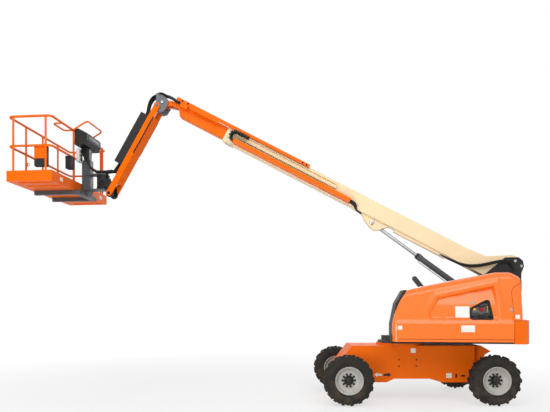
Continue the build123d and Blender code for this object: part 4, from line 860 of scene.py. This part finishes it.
# %% Turret pins, doublers and lamps
LIFT_FOOT = np.array([1.400, 0.0, 1.774])
DOUBLER = [(1.62, 1.95), (1.98, 1.95), (2.04, 2.25), (2.085, 2.37), (2.07, 2.45), (2.03, 2.49), (1.85, 2.49),
           (1.70, 2.36)]
SLEW_BOLTS, SLEW_RING = 24, 0.385
pins = near_and_far(lambda s: pin_end(on_turret(PIVOT + (0, s * 0.202, 0)), (0, s, 0), 0.026)
                    + bolt(on_turret([2.105, s * 0.190, 2.375]), (0, s, 0), 0.016)
                    + pin_end(on_turret(LIFT_FOOT + (0, s * 0.0855, 0)), (0, s, 0), 0.036))
piece("turret_pins", pins, "bare_steel", "turret")
doublers = near_and_far(lambda s: [plate(DOUBLER, 0.190, 0.1995, sideways(on_turret, s))])
piece("upright_doublers", doublers, "dark_paint", "turret")
for name, (side, front) in FRONTS.items():
    holders = [(1.8865, side * 0.82, z, 0.012, 0.070, high, 0.005) for z, high in ((2.00, 0.19), (1.72, 0.15))]
    lenses = [(1.8930, side * 0.82, z, 0.010, 0.050, high, 0.005) for z, high in ((2.00, 0.17), (1.72, 0.13))]
    piece(f"lamp_holder_{name}", blocks(holders), "black_plastic", f"hood_{name}")
    piece(f"lamp_lens_{name}", blocks(lenses), "lamp_red", f"hood_{name}")
slew = [(SLEW_RING * math.cos(a), SLEW_RING * math.sin(a), 1.0675)
        for a in np.arange(SLEW_BOLTS) * 2 * math.pi / SLEW_BOLTS if abs(math.sin(a)) > 0.5]
piece("slew_bolts", bolts(on_turret(slew), (0, 0, 1), 0.014), "bare_steel", "turret")

# %% [markdown]
# ## Boom
# The cable track is a chain of short links: side plates with cross bars, laid along the lower run, round
# the bend and back, with the hoses inside.

# %% Cable track
TRACK_LOW, TRACK_HIGH, TRACK_TURN, TRACK_Y_IN, TRACK_Y_OUT = -0.4057, -0.232, 5.551, -0.165, -0.295
LOWER_RUN, UPPER_RUN, LINKS = 1.88, 0.24, 40
TRACK_HOSES = ((-0.190, 0.011), (-0.215, 0.012), (-0.243, 0.013), (-0.272, 0.010))  # y, radius


def track_path(count):
    """Points (u, w) and headings along the chain, evenly spaced: lower run, half circle, upper run."""
    r = (TRACK_HIGH - TRACK_LOW) / 2
    runs = np.array([LOWER_RUN, math.pi * r, UPPER_RUN])
    s = np.linspace(0.03, runs.sum() - 0.03, count)
    turn = np.clip((s - runs[0]) / r, 0, math.pi)
    u = np.where(s < runs[0], TRACK_TURN - runs[0] + s, TRACK_TURN + r * np.sin(turn))
    u = np.where(s > runs[:2].sum(), TRACK_TURN - (s - runs[:2].sum()), u)
    w = (TRACK_LOW + TRACK_HIGH) / 2 - r * np.cos(turn)
    return u, w, turn


def chain_links():
    """Each link: two side plates and two cross bars, as blocks turned to the heading of the path."""
    skins = []
    for u, w, turn in zip(*track_path(LINKS)):
        c, s = math.cos(turn), math.sin(turn)
        along, side, square = BOOM_AXES
        axes = np.array([c * along + s * square, side, -s * along + c * square])
        for y in (TRACK_Y_IN - 0.006, TRACK_Y_OUT + 0.006):
            skins.append(block(on_boom([u, y, w]), (0.050, 0.010, 0.046), 0.004, axes, 1))
        for k in (-0.019, 0.019):
            place = on_boom([u, (TRACK_Y_IN + TRACK_Y_OUT) / 2, w]) + axes[2] * k
            skins.append(block(place, (0.020, 0.118, 0.006), 0.002, axes, 1))
    return skins


piece("track_chain", chain_links(), "black_plastic", "cable_track", replaces=("cable_track",))
u, w, turn = track_path(60)
lines = [carry(ring(r, 8), on_boom(np.stack([u, np.full_like(u, y), w], -1))) for y, r in TRACK_HOSES]
piece("track_hoses", lines, "hose_rubber", "cable_track")

# %% [markdown]
# The base boom has pad bolts round its tip collar, turned ends on the lift pin, weld beads and a shallow
# recess inside the rim of the track carrier. Hoses come out of the end of the tray and go under the boom.

# %% Boom fittings
def weld(ends, r=0.006):
    """Weld bead: a small round profile carried along a straight edge."""
    a, b = np.asarray(ends, float)
    t = np.linspace(0, 1, max(4, int(np.linalg.norm(b - a) / 0.03)))[:, None]
    return carry(ring(r, 6), a * (1 - t) + b * t, up=(0.3, 0.9, 0.2))


recess = plate(slot_outline(2.026, 0.052) + (4.465, -0.258), 0.1205, 0.126, sideways(on_boom, -1))
piece("carrier_recess", [recess], "cream_paint", "base_boom")
tip = []
for u in (5.63, 5.70):
    for side in (-1, 1):
        tip += bolts(on_boom([(u, side * 0.133, w) for w in (-0.26, -0.373)]), (0, side, 0), 0.013)
    for w, way in ((-0.158, 1), (-0.475, -1)):
        tip += bolts(on_boom([(u, y, w) for y in (-0.04, 0.04)]), BOOM_AXES[2] * way, 0.013)
tip += near_and_far(lambda s: pin_end(on_boom([2.558, s * 0.083, -0.538]), (0, s, 0), 0.042))
piece("boom_bolts", tip, "bare_steel", "base_boom")
collar_edges = [[(5.579, -0.121, -0.190), (5.579, -0.121, -0.445)],
                [(5.579, 0.121, -0.190), (5.579, 0.121, -0.445)],
                [(5.579, -0.10, -0.170), (5.579, 0.10, -0.170)]]
welds = [weld(on_boom(ends)) for ends in collar_edges]
welds += near_and_far(lambda s: [weld(on_boom([(0.49, s * 0.121, -0.158), (0.76, s * 0.121, -0.171)])),
                                 weld(on_boom([(0.76, s * 0.122, -0.172), (0.99, s * 0.122, -0.455)]))])
piece("boom_welds", welds, "cream_paint", "base_boom")
bar_bolts = on_boom([(u, -0.204, -0.172) for u in (4.12, 4.20, 6.66, 6.78)])
piece("push_bar_bolts", bolts(bar_bolts, (0, -1, 0)), "dark_paint", "fly_boom")
flange = blocks([(6.2875, -0.200, -0.222, 0.645, 0.008, 0.045, 0.003)], on_boom, BOOM_AXES)
piece("push_bar_flange", flange, "orange_paint", "fly_boom")
tray = [hose(on_boom([(3.12, -0.23, w), (3.03, -0.23, w), (2.975, -0.228, w - 0.02), (2.95, -0.21, -0.445 + dw),
                      (2.925, -0.15, -0.478), (2.89, -0.08, -0.482), (2.80, -0.035, -0.480)]), 0.015)
        for w, dw in ((-0.382, 0.02), (-0.405, 0.0), (-0.428, -0.02))]
piece("tray_hoses", tray, "hose_rubber", "base_boom")
rod_line = HEAD + [(0.115, -0.03, -0.085), (0.23, -0.03, -0.115), (0.36, -0.03, -0.150)]
piece("level_rod", [carry(ring(0.012, 14), on_turret(rod_line))], "rod_chrome", "fly_boom")

# %% [markdown]
# Hoses leave the guard under the boom, sag past the goose-neck and reach the turret close to the pivot,
# where they bend least when the boom rises. Each hose is one tube from the boom to the turret, fixed in
# the frame.

# %% Hoses from boom to turret
def joint_hoses(name, lines, r, first, second):
    """A bundle of tubes between two bodies, joined as one mesh and left fixed in the frame; the bodies are only
    named in the print."""
    points, faces = join([hose(line, r) for line in lines])
    mesh = bpy.data.meshes.new(name)
    mesh.from_pydata(points.tolist(), [], faces)
    mesh.materials.append(finishes["hose_rubber"])
    mesh.shade_smooth()
    obj = bpy.data.objects.new(name, mesh)
    bpy.context.scene.collection.objects.link(obj)
    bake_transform(obj)
    print(name, len(lines), "hoses between", first, "and", second)


ROOT_LINE = np.array([(1.14, -0.165, 2.365), (1.40, -0.205, 2.37), (1.64, -0.222, 2.43), (1.84, -0.235, 2.455),
                      (1.93, -0.222, 2.40), (1.95, -0.203, 2.30)])
root = []
for dy, dz in ((0, 0), (0.03, 0.012), (-0.012, 0.030)):
    leaving = on_boom([(1.20, -0.06 + dy, -0.487), (1.00, -0.09 + dy, -0.490)])
    root.append(np.concatenate([leaving, on_turret(ROOT_LINE + (0, dy, dz))]))
joint_hoses("root_hoses", root, 0.015, "base_boom", "turret")
piece("root_clamp", blocks([(1.95, -0.203, 2.31, 0.10, 0.030, 0.035, 0.008)]), "dark_paint", "turret")

# %% [markdown]
# At the boom's tip the hoses arch over the jib's head to a clamp, then fall to the jib. At its foot they
# pass over the rotator and climb the mast to the console. Slow waves keep the bundles from lying too even.

# %% Hoses at the jib
over = []
for k, y in enumerate((-0.150, -0.120, -0.075, -0.040, 0.0, 0.040)):
    lift, beside = 0.012 * math.cos(k * 2.1), min(0.0, y + 0.095)
    over.append(on_turret(HEAD + [(0.43, y, beside * 0.6 - 0.075), (0.30, y, beside + 0.025),
                                  (0.14, y, beside + 0.125 + lift), (0.0, y, 0.170 + lift / 2),
                                  (-0.06, y, 0.165)]))
joint_hoses("head_hoses_upper", over, 0.014, "fly_boom", "jib_head")
down = []
for k, y in enumerate((-0.075, -0.045, -0.015, 0.015, 0.045, 0.075)):
    out = 0.012 * math.sin(k * 1.7)
    fall = HEAD + [(-0.06, y, 0.172), (-0.16, y, 0.165), (-0.255 - out, y, 0.08), (-0.30 - out, y, -0.05),
                   (-0.315, y, -0.16)]
    down.append(np.concatenate([on_turret(fall), on_jib([(0.30, y, 0.13), (0.40, y, 0.13)])]))
joint_hoses("head_hoses_lower", down, 0.014, "jib_head", "jib")
clamp = block(on_turret(HEAD + (-0.055, 0, 0.172)), (0.05, 0.21, 0.036), 0.010)
piece("head_clamp", [clamp], "dark_paint", "jib_head")
TOP = np.array([-5.690, 0.0, 4.262])  # over the rotator
foot, mast = [], []
for k, y in enumerate((-0.075, -0.045, -0.015, 0.015, 0.045)):
    rise = 0.026 * (k % 2)
    leaving = on_jib([(1.22, y, 0.13), (1.36, y, 0.135 + rise), (1.50, y, 0.145 + rise)])
    arriving = on_turret(TOP + [(0.20, y, 0.015 + rise), (0.08, y, rise), (0.0, y, rise)])
    foot.append(np.concatenate([leaving, arriving]))
    mast.append(hose(on_turret(TOP + [
        (0.0, y, rise), (-0.10, y, rise), (-0.17, y - 0.03, 0.02 + rise), (-0.225, -0.14 - rise, 0.12),
        (-0.25 - k * 0.02, -0.15 - rise, 0.28), (-0.27 - k * 0.025, -0.14, 0.40),
        (-0.28 - k * 0.025, -0.13, 0.482)]), 0.013))
joint_hoses("foot_hoses", foot, 0.013, "jib", "platform_support")
piece("mast_hoses", mast, "hose_rubber", "platform")

# %% [markdown]
# ## Lift cylinder
# The barrel's mouth has a stepped gland; a steel pipe runs along the barrel from the mouth to a port at
# its foot, held by two clips. The rod's eye has a dark collar.

# %% Lift cylinder
LIFT_TOP = np.array([-0.51303, 0.0, 3.20740])
lift_dir = unit(LIFT_FOOT - LIFT_TOP)
lift_down = np.cross(lift_dir, (0, 1, 0))
LIFT_AXES = np.array([lift_dir, (0, 1, 0), lift_down])
PIPE = ((1.09, 0.058), (1.10, 0.078), (1.20, 0.080), (1.75, 0.078), (2.18, 0.078), (2.24, 0.075), (2.25, 0.05))
PIPE_Y = -0.02


def on_lift(along, y=0.0, out=0.0):
    """Point along the cylinder from its upper pin, y sideways, out square to it and upwards."""
    return on_turret(LIFT_TOP + along * lift_dir + np.array([0, y, 0]) - out * lift_down)


gland = lathe([(0.0308, -0.030), (0.046, -0.030), (0.052, -0.022), (0.052, 0.0), (0.0615, 0.002),
               (0.0615, 0.010), (0.0605, 0.012)], on_lift(1.038), lift_dir, count=40)
piece("lift_gland", [gland], "dark_paint", "lift_barrel")
pipe = [hose([on_lift(along, PIPE_Y, out) for along, out in PIPE], 0.009)]
pipe += [block(on_lift(along, PIPE_Y, 0.070), (0.04, 0.045, 0.03), 0.006, LIFT_AXES) for along in (1.35, 1.95)]
piece("lift_pipe", pipe, "bare_steel", "lift_barrel")
collar = lathe([(0.0305, 0.055), (0.046, 0.055), (0.050, 0.065), (0.050, 0.125), (0.040, 0.140),
                (0.0305, 0.140)], on_lift(0.0), lift_dir, count=40)
piece("rod_collar", [collar], "dark_paint", "base_boom")

# %% [markdown]
# ## Jib
# Both pins of the jib show turned ends. The hose cover is screwed down along its edges, and a black sheet
# is painted shade in the slot between the upper bar and the lower box.

# %% Jib fittings
head_pins = near_and_far(lambda s: pin_end(on_turret(HEAD + (0, s * 0.132, 0)), (0, s, 0), 0.026))
piece("head_pins", head_pins, "bare_steel", "jib_head")
foot_pins = near_and_far(lambda s: pin_end(on_jib([1.905, s * 0.168, 0]), (0, s, 0), 0.026))
piece("foot_pins", foot_pins, "dark_paint", "platform_support")
screws = near_and_far(lambda s: bolts(on_jib([(u, s * 0.160, 0.075) for u in np.arange(0.33, 1.28, 0.31)]),
                                      (0, s, 0), 0.010))
piece("jib_screws", screws, "dark_paint", "jib")
# Painted shade: a thin black sheet on each side where the slot between the upper bar and the lower box lies in
# shade.
slots = near_and_far(lambda s: [plate(slot_outline(0.78, 0.026) + (0.62, -0.047), 0.1595, 0.1612,
                                      sideways(on_jib, s))])
piece("jib_slot_shade", slots, "black_and_painted_shade", "jib")

# %% [markdown]
# ## Platform
# The floor is pressed with a diamond pattern for grip: a sheet whose height is the product of two crossed
# waves, cut off at zero. The pattern's pitch is drawn at 60 mm so that it still shows from afar. Rolled
# lips stiffen the toe boards, shallow ribs the floor, and posts have round feet and sleeves.

# %% Platform floor and edges
PLAT_IN, PLAT_OUT, PLAT_HALF = -6.1203, -6.9603, 1.220
PLAT_MIDDLE = (PLAT_IN + PLAT_OUT) / 2
FLOOR_Z, TOE_Z, RAIL_MID, PITCH = 3.8698, 4.0498, 4.4898, 0.060
POST_IN, POST_OUT, END_Y = -6.1473, -6.9333, 1.193
FOOT_PROFILE = [(0.026, 0), (0.026, 0.008), (0.024, 0.010), (0.020, 0.022), (0.0182, 0.024)]
SLEEVE_PROFILE = [(0.0182, -0.030), (0.0225, -0.026), (0.0225, 0.026), (0.0182, 0.030)]


def diamond_floor():
    """Height over (x, y): 3 mm times the positive part of the product of two crossed cosine waves."""
    x = np.linspace(PLAT_OUT + 0.007, PLAT_IN - 0.007, 110)[:, None]
    y = np.linspace(-PLAT_HALF + 0.007, PLAT_HALF - 0.007, 320)[None, :]
    wave = np.cos(2 * np.pi * (x + y) / PITCH) * np.cos(2 * np.pi * (x - y) / PITCH)
    z = FLOOR_Z + 0.0006 + 0.003 * np.clip(wave, 0, 1) ** 0.6
    return skin(on_turret(np.stack([x + 0 * y, y + 0 * x, z], -1)))


def round_trip(half_x, half_y, z, bend, count=8):
    """Closed path round a rectangle about the platform's middle, with round corners."""
    a = np.linspace(0, np.pi / 2, count)
    corners = [(1, 1, 0), (-1, 1, 1), (-1, -1, 2), (1, -1, 3)]
    points = [np.stack([sx * (half_x - bend) + bend * np.cos(a + k * np.pi / 2),
                        sy * (half_y - bend) + bend * np.sin(a + k * np.pi / 2), 0 * a + z], -1)
              for sx, sy, k in corners]
    return on_turret(np.concatenate(points) + (PLAT_MIDDLE, 0, 0))


piece("floor_tread", [diamond_floor()], "grey_paint", "platform", turn=False)
lips = [carry(ring(0.008, 8), round_trip(0.409, 1.209, TOE_Z - 0.006, 0.012), up=(0, 0, 1), close=True),
        carry(ring(0.006, 8), round_trip(0.412, 1.212, FLOOR_Z + 0.04, 0.010), up=(0, 0, 1), close=True)]
piece("toe_lips", lips, "orange_paint", "platform")
ribs = [(PLAT_MIDDLE + 0.05, y, 3.8530, 0.64, 0.035, 0.019, 0.006) for y in (-1.08, -0.78, 0.78, 1.08)]
piece("floor_ribs", blocks(ribs), "orange_paint", "platform")
posts = [(POST_OUT, k * 1.033) for k in (-0.6, 0, 0.6)] + [(POST_IN, -0.32), (POST_IN, 0.409)]
posts += [(x, s * END_Y) for x in (POST_OUT + 0.085, POST_IN - 0.10) for s in (-1, 1)]
feet = [lathe(profile, on_turret([x, y, z]), (0, 0, 1), count=24) for x, y in posts
        for profile, z in ((FOOT_PROFILE, FLOOR_Z), (SLEEVE_PROFILE, RAIL_MID))]
piece("post_feet", feet, "orange_paint", "platform")

# %% [markdown]
# The console keeps its controls under a sloping lid: a row of switches, two levers and a red stop button.
# The lid has directions of its own, so its pieces are described down the slope.

# %% Console
LID_A, LID_B = np.array([-6.0873, 0, 5.0548]), np.array([-5.8773, 0, 4.9398])
lid_along = unit(LID_B - LID_A)
LID_AXES = np.array([lid_along, (0, 1, 0), (-lid_along[2], 0, lid_along[0])])
SWITCH = [(0.012, 0), (0.012, 0.006), (0.006, 0.008), (0.004, 0.03), (0.006, 0.034), (0, 0.036)]
LEVER = [(0.030, 0), (0.028, 0.010), (0.020, 0.014), (0.018, 0.026), (0.008, 0.030), (0.008, 0.070),
         (0.018, 0.078), (0.020, 0.100), (0.012, 0.112), (0, 0.114)]
STOP = [(0.016, 0), (0.016, 0.016), (0.030, 0.020), (0.032, 0.030), (0.024, 0.038), (0, 0.040)]


def on_lid(p):
    """Points on the console's lid: a down the slope, y sideways, h off it."""
    return on_turret(LID_A + np.asarray(p, float) @ LID_AXES)


lid = blocks([(0.120, 0, 0.006, 0.21, 0.60, 0.016, 0.006), (0.120, 0, 0.014, 0.15, 0.52, 0.008, 0.004)],
             on_lid, LID_AXES)
lid += blocks([(-5.8755, 0, 4.885, 0.012, 0.50, 0.06, 0.004)])
piece("console_lid", lid, "pale_grey", "platform")
trim = blocks([(0.232, y, 0.002, 0.03, 0.06, 0.022, 0.004) for y in (-0.20, 0.20)], on_lid, LID_AXES)
trim += [lathe([(0.009, -0.07), (0.009, 0.07), (0, 0.07)], on_lid([0.004, y, 0.006]), (0, 1, 0), count=14)
         for y in (-0.2, 0.2)]
trim += [lathe(SWITCH, on_turret([-6.1263, y, 4.86]), (-1, 0, 0.25), count=14)
         for y in (-0.22, -0.16, -0.10, 0.10, 0.16, 0.22)]
trim += [lathe(LEVER, on_turret([-6.1263, y, 4.84]), (-1, 0, 0.2), count=20) for y in (-0.03, 0.05)]
trim += blocks([(-6.1268, 0, 4.85, 0.003, 0.56, 0.17, 0.001)])
piece("console_controls", trim, "black_plastic", "platform")
stop = lathe(STOP, on_turret([-6.127, -0.275, 4.80]), (-1, 0, 0), count=28)
piece("stop_buttons", [stop], "stop_red", "platform")

# %% [markdown]
# Small boxes hang on the rails, a guarded foot switch stands on the floor, and rings for safety lines sit
# on the outer posts. The gate has a latch, and two blank labels lie on the inner toe board.

# %% Boxes, foot switch, rings and latch
SOCKET = [(0.030, 0), (0.030, 0.008), (0.022, 0.012), (0.020, 0.006), (0, 0.006)]
PEDAL_LEAN = 0.2
PEDAL_AXES = np.array([[math.cos(PEDAL_LEAN), 0, math.sin(PEDAL_LEAN)], [0, 1, 0],
                       [-math.sin(PEDAL_LEAN), 0, math.cos(PEDAL_LEAN)]])


def loop(centre, across, up, r, thick):
    """Closed ring of wire: a circle spanned by two directions, with a round section."""
    a = np.arange(24) * 2 * np.pi / 24
    path = np.asarray(centre, float) + r * (np.cos(a)[:, None] * unit(across) + np.sin(a)[:, None] * unit(up))
    return carry(ring(thick, 8), path, up=np.cross(unit(across), unit(up)), close=True)


covers = [lathe(SOCKET, on_turret([-6.0660, -0.175, 4.4398 + dz]), (1, 0, 0), count=24)
          for dz in (0.05, 0.125, 0.20)]
covers += blocks([(POST_IN, -0.470, 4.4498, 0.128, 0.158, 0.022, 0.006)])
piece("box_covers", covers, "black_plastic", "platform")
card = blocks([(-6.350, -1.1745, 4.38, 0.235, 0.003, 0.225, 0.001)])
piece("document_plate", card, "orange_paint", "platform")
guard = blocks([(-6.36, 0.10, 3.882, 0.20, 0.15, 0.016, 0.005),
                (-6.36, 0.03, 3.925, 0.20, 0.008, 0.10, 0.003),
                (-6.36, 0.17, 3.925, 0.20, 0.008, 0.10, 0.003),
                (-6.31, 0.10, 3.972, 0.10, 0.148, 0.008, 0.003)])
piece("foot_guard", guard, "grey_paint", "platform")
pedal = blocks([(-6.39, 0.10, 3.915, 0.12, 0.09, 0.014, 0.005)], axes=PEDAL_AXES)
piece("foot_pedal", pedal, "black_plastic", "platform")
anchors = []
for y in (-0.62, 0.0, 0.62):
    anchors.append(loop(on_turret([POST_OUT + 0.045, y, 4.30]), (1, 0, 0.3), (0, 0, 1), 0.028, 0.006))
    anchors += blocks([(POST_OUT + 0.020, y, 4.31, 0.012, 0.05, 0.06, 0.004)])
piece("lanyard_anchors", anchors, "orange_paint", "platform")
latch = blocks([(POST_IN - 0.002, 0.452, 4.78, 0.055, 0.040, 0.10, 0.008),
                (POST_IN - 0.035, 0.452, 4.80, 0.020, 0.018, 0.06, 0.006)])
piece("gate_latch", latch, "black_plastic", "gate")
toe_labels = blocks([(-6.1197, y, 3.955, 0.0012, 0.11, 0.07, 0.0005) for y in (-0.86, 0.90)])
piece("toe_labels", toe_labels, "label_film", "platform")

# %% [markdown]
# The rotator between jib and platform is a short drum. Two flanges and a motor are turned for it, and a
# ring of bolts holds the platform's arm on top.

# %% Rotator
ROTATOR = np.array([-5.6903, 0, 0])
CAP_BOLTS, CAP_RING = 8, 0.075
drum = [lathe([(0.1200, 0), (0.1245, 0.004), (0.1245, 0.026), (0.1200, 0.030)], on_turret(ROTATOR + (0, 0, z)),
              (0, 0, 1), count=56) for z in (3.950, 4.170)]
drum.append(lathe([(0.055, 0), (0.055, 0.018), (0.044, 0.022), (0.044, 0.062), (0.038, 0.070), (0, 0.070)],
                  on_turret(ROTATOR + (0, -0.118, 4.065)), (0, -1, 0), count=28))
piece("rotator_body", drum, "dark_paint", "platform_support")
cap_bolts = [ROTATOR + (CAP_RING * math.cos(a), CAP_RING * math.sin(a), 4.2351)
             for a in np.arange(CAP_BOLTS) * 2 * math.pi / CAP_BOLTS]
piece("rotator_bolts", bolts(on_turret(cap_bolts), (0, 0, 1), 0.011), "bare_steel", "platform")

# %% [markdown]
# ## Chassis
# Two direction arrows help the driver when the turret has turned: a pale one and a dark one. Arrows and
# blank labels are thin plates on the side, slots and holes get black plates of painted shade, and each driven
# wheel has a geared hub.

# %% Chassis pieces
SIDE_Y, HUB_BOLTS, HUB_RING = 0.3900, 10, 0.132
ARROW = 0.76 * np.array([(-0.12, 0.0), (-0.04, 0.055), (-0.04, 0.025), (0.06, 0.025), (0.06, -0.025),
                         (-0.04, -0.025), (-0.04, -0.055)])
LABELS = ((0.153, 0.869, 0.045, 0.040), (0.79, 0.425, 0.048, 0.042))  # x, z, half length, half height
HUB = [(0.076, 0), (0.115, 0.004), (0.125, 0.014), (0.125, 0.07), (0.145, 0.08), (0.145, 0.12), (0.12, 0.13),
       (0.12, 0.185)]
SIDES = (-1, 1)


def on_side(outline, side, high=0.0012):
    """Thin plate with this (x, z) outline on the chassis side plate."""
    return plate(outline, SIDE_Y, SIDE_Y + high, sideways(on_chassis, side))


pale = [on_side(ARROW + (-0.451, 0.438), s, 0.0015) for s in SIDES]
pale += [on_side(np.array([(-a, -b), (a, -b), (a, b), (-a, b)]) + (x, z), -1) for x, z, a, b in LABELS]
piece("chassis_labels", pale, "label_film", "chassis")
dark = [on_side((ARROW * (-1, 1))[::-1] + (-0.329, 0.438), s, 0.0015) for s in SIDES]
# Painted shade: black plates over the slots and holes stand for the shade inside them; the dark arrows are print.
dark += [on_side(slot_outline(0.075, 0.034)[:, ::way] + (x, 0.42), s) for s in SIDES
         for x, way in ((0.92, -1), (1.04, 1))]
dark += [on_side(slot_outline(0.0302, 0.030) + (x, z), s) for s in SIDES for x in (-0.10, 0.21)
         for z in (0.593, 0.708)]
piece("chassis_dark_arrows_and_hole_shade", dark, "black_and_painted_shade", "chassis")
hubs = [lathe(HUB, on_chassis([DRIVE_X, s * 0.64, WHEEL_Z]), YAW_AXES[1] * s, count=40) for s in SIDES]
for s in SIDES:
    around = np.arange(HUB_BOLTS) * 2 * math.pi / HUB_BOLTS
    spots = [(DRIVE_X + HUB_RING * math.sin(a), s * 0.72, WHEEL_Z + HUB_RING * math.cos(a)) for a in around]
    hubs += bolts(on_chassis(spots), -YAW_AXES[1] * s, 0.009)
piece("drive_hubs", hubs, "dark_paint", "chassis")
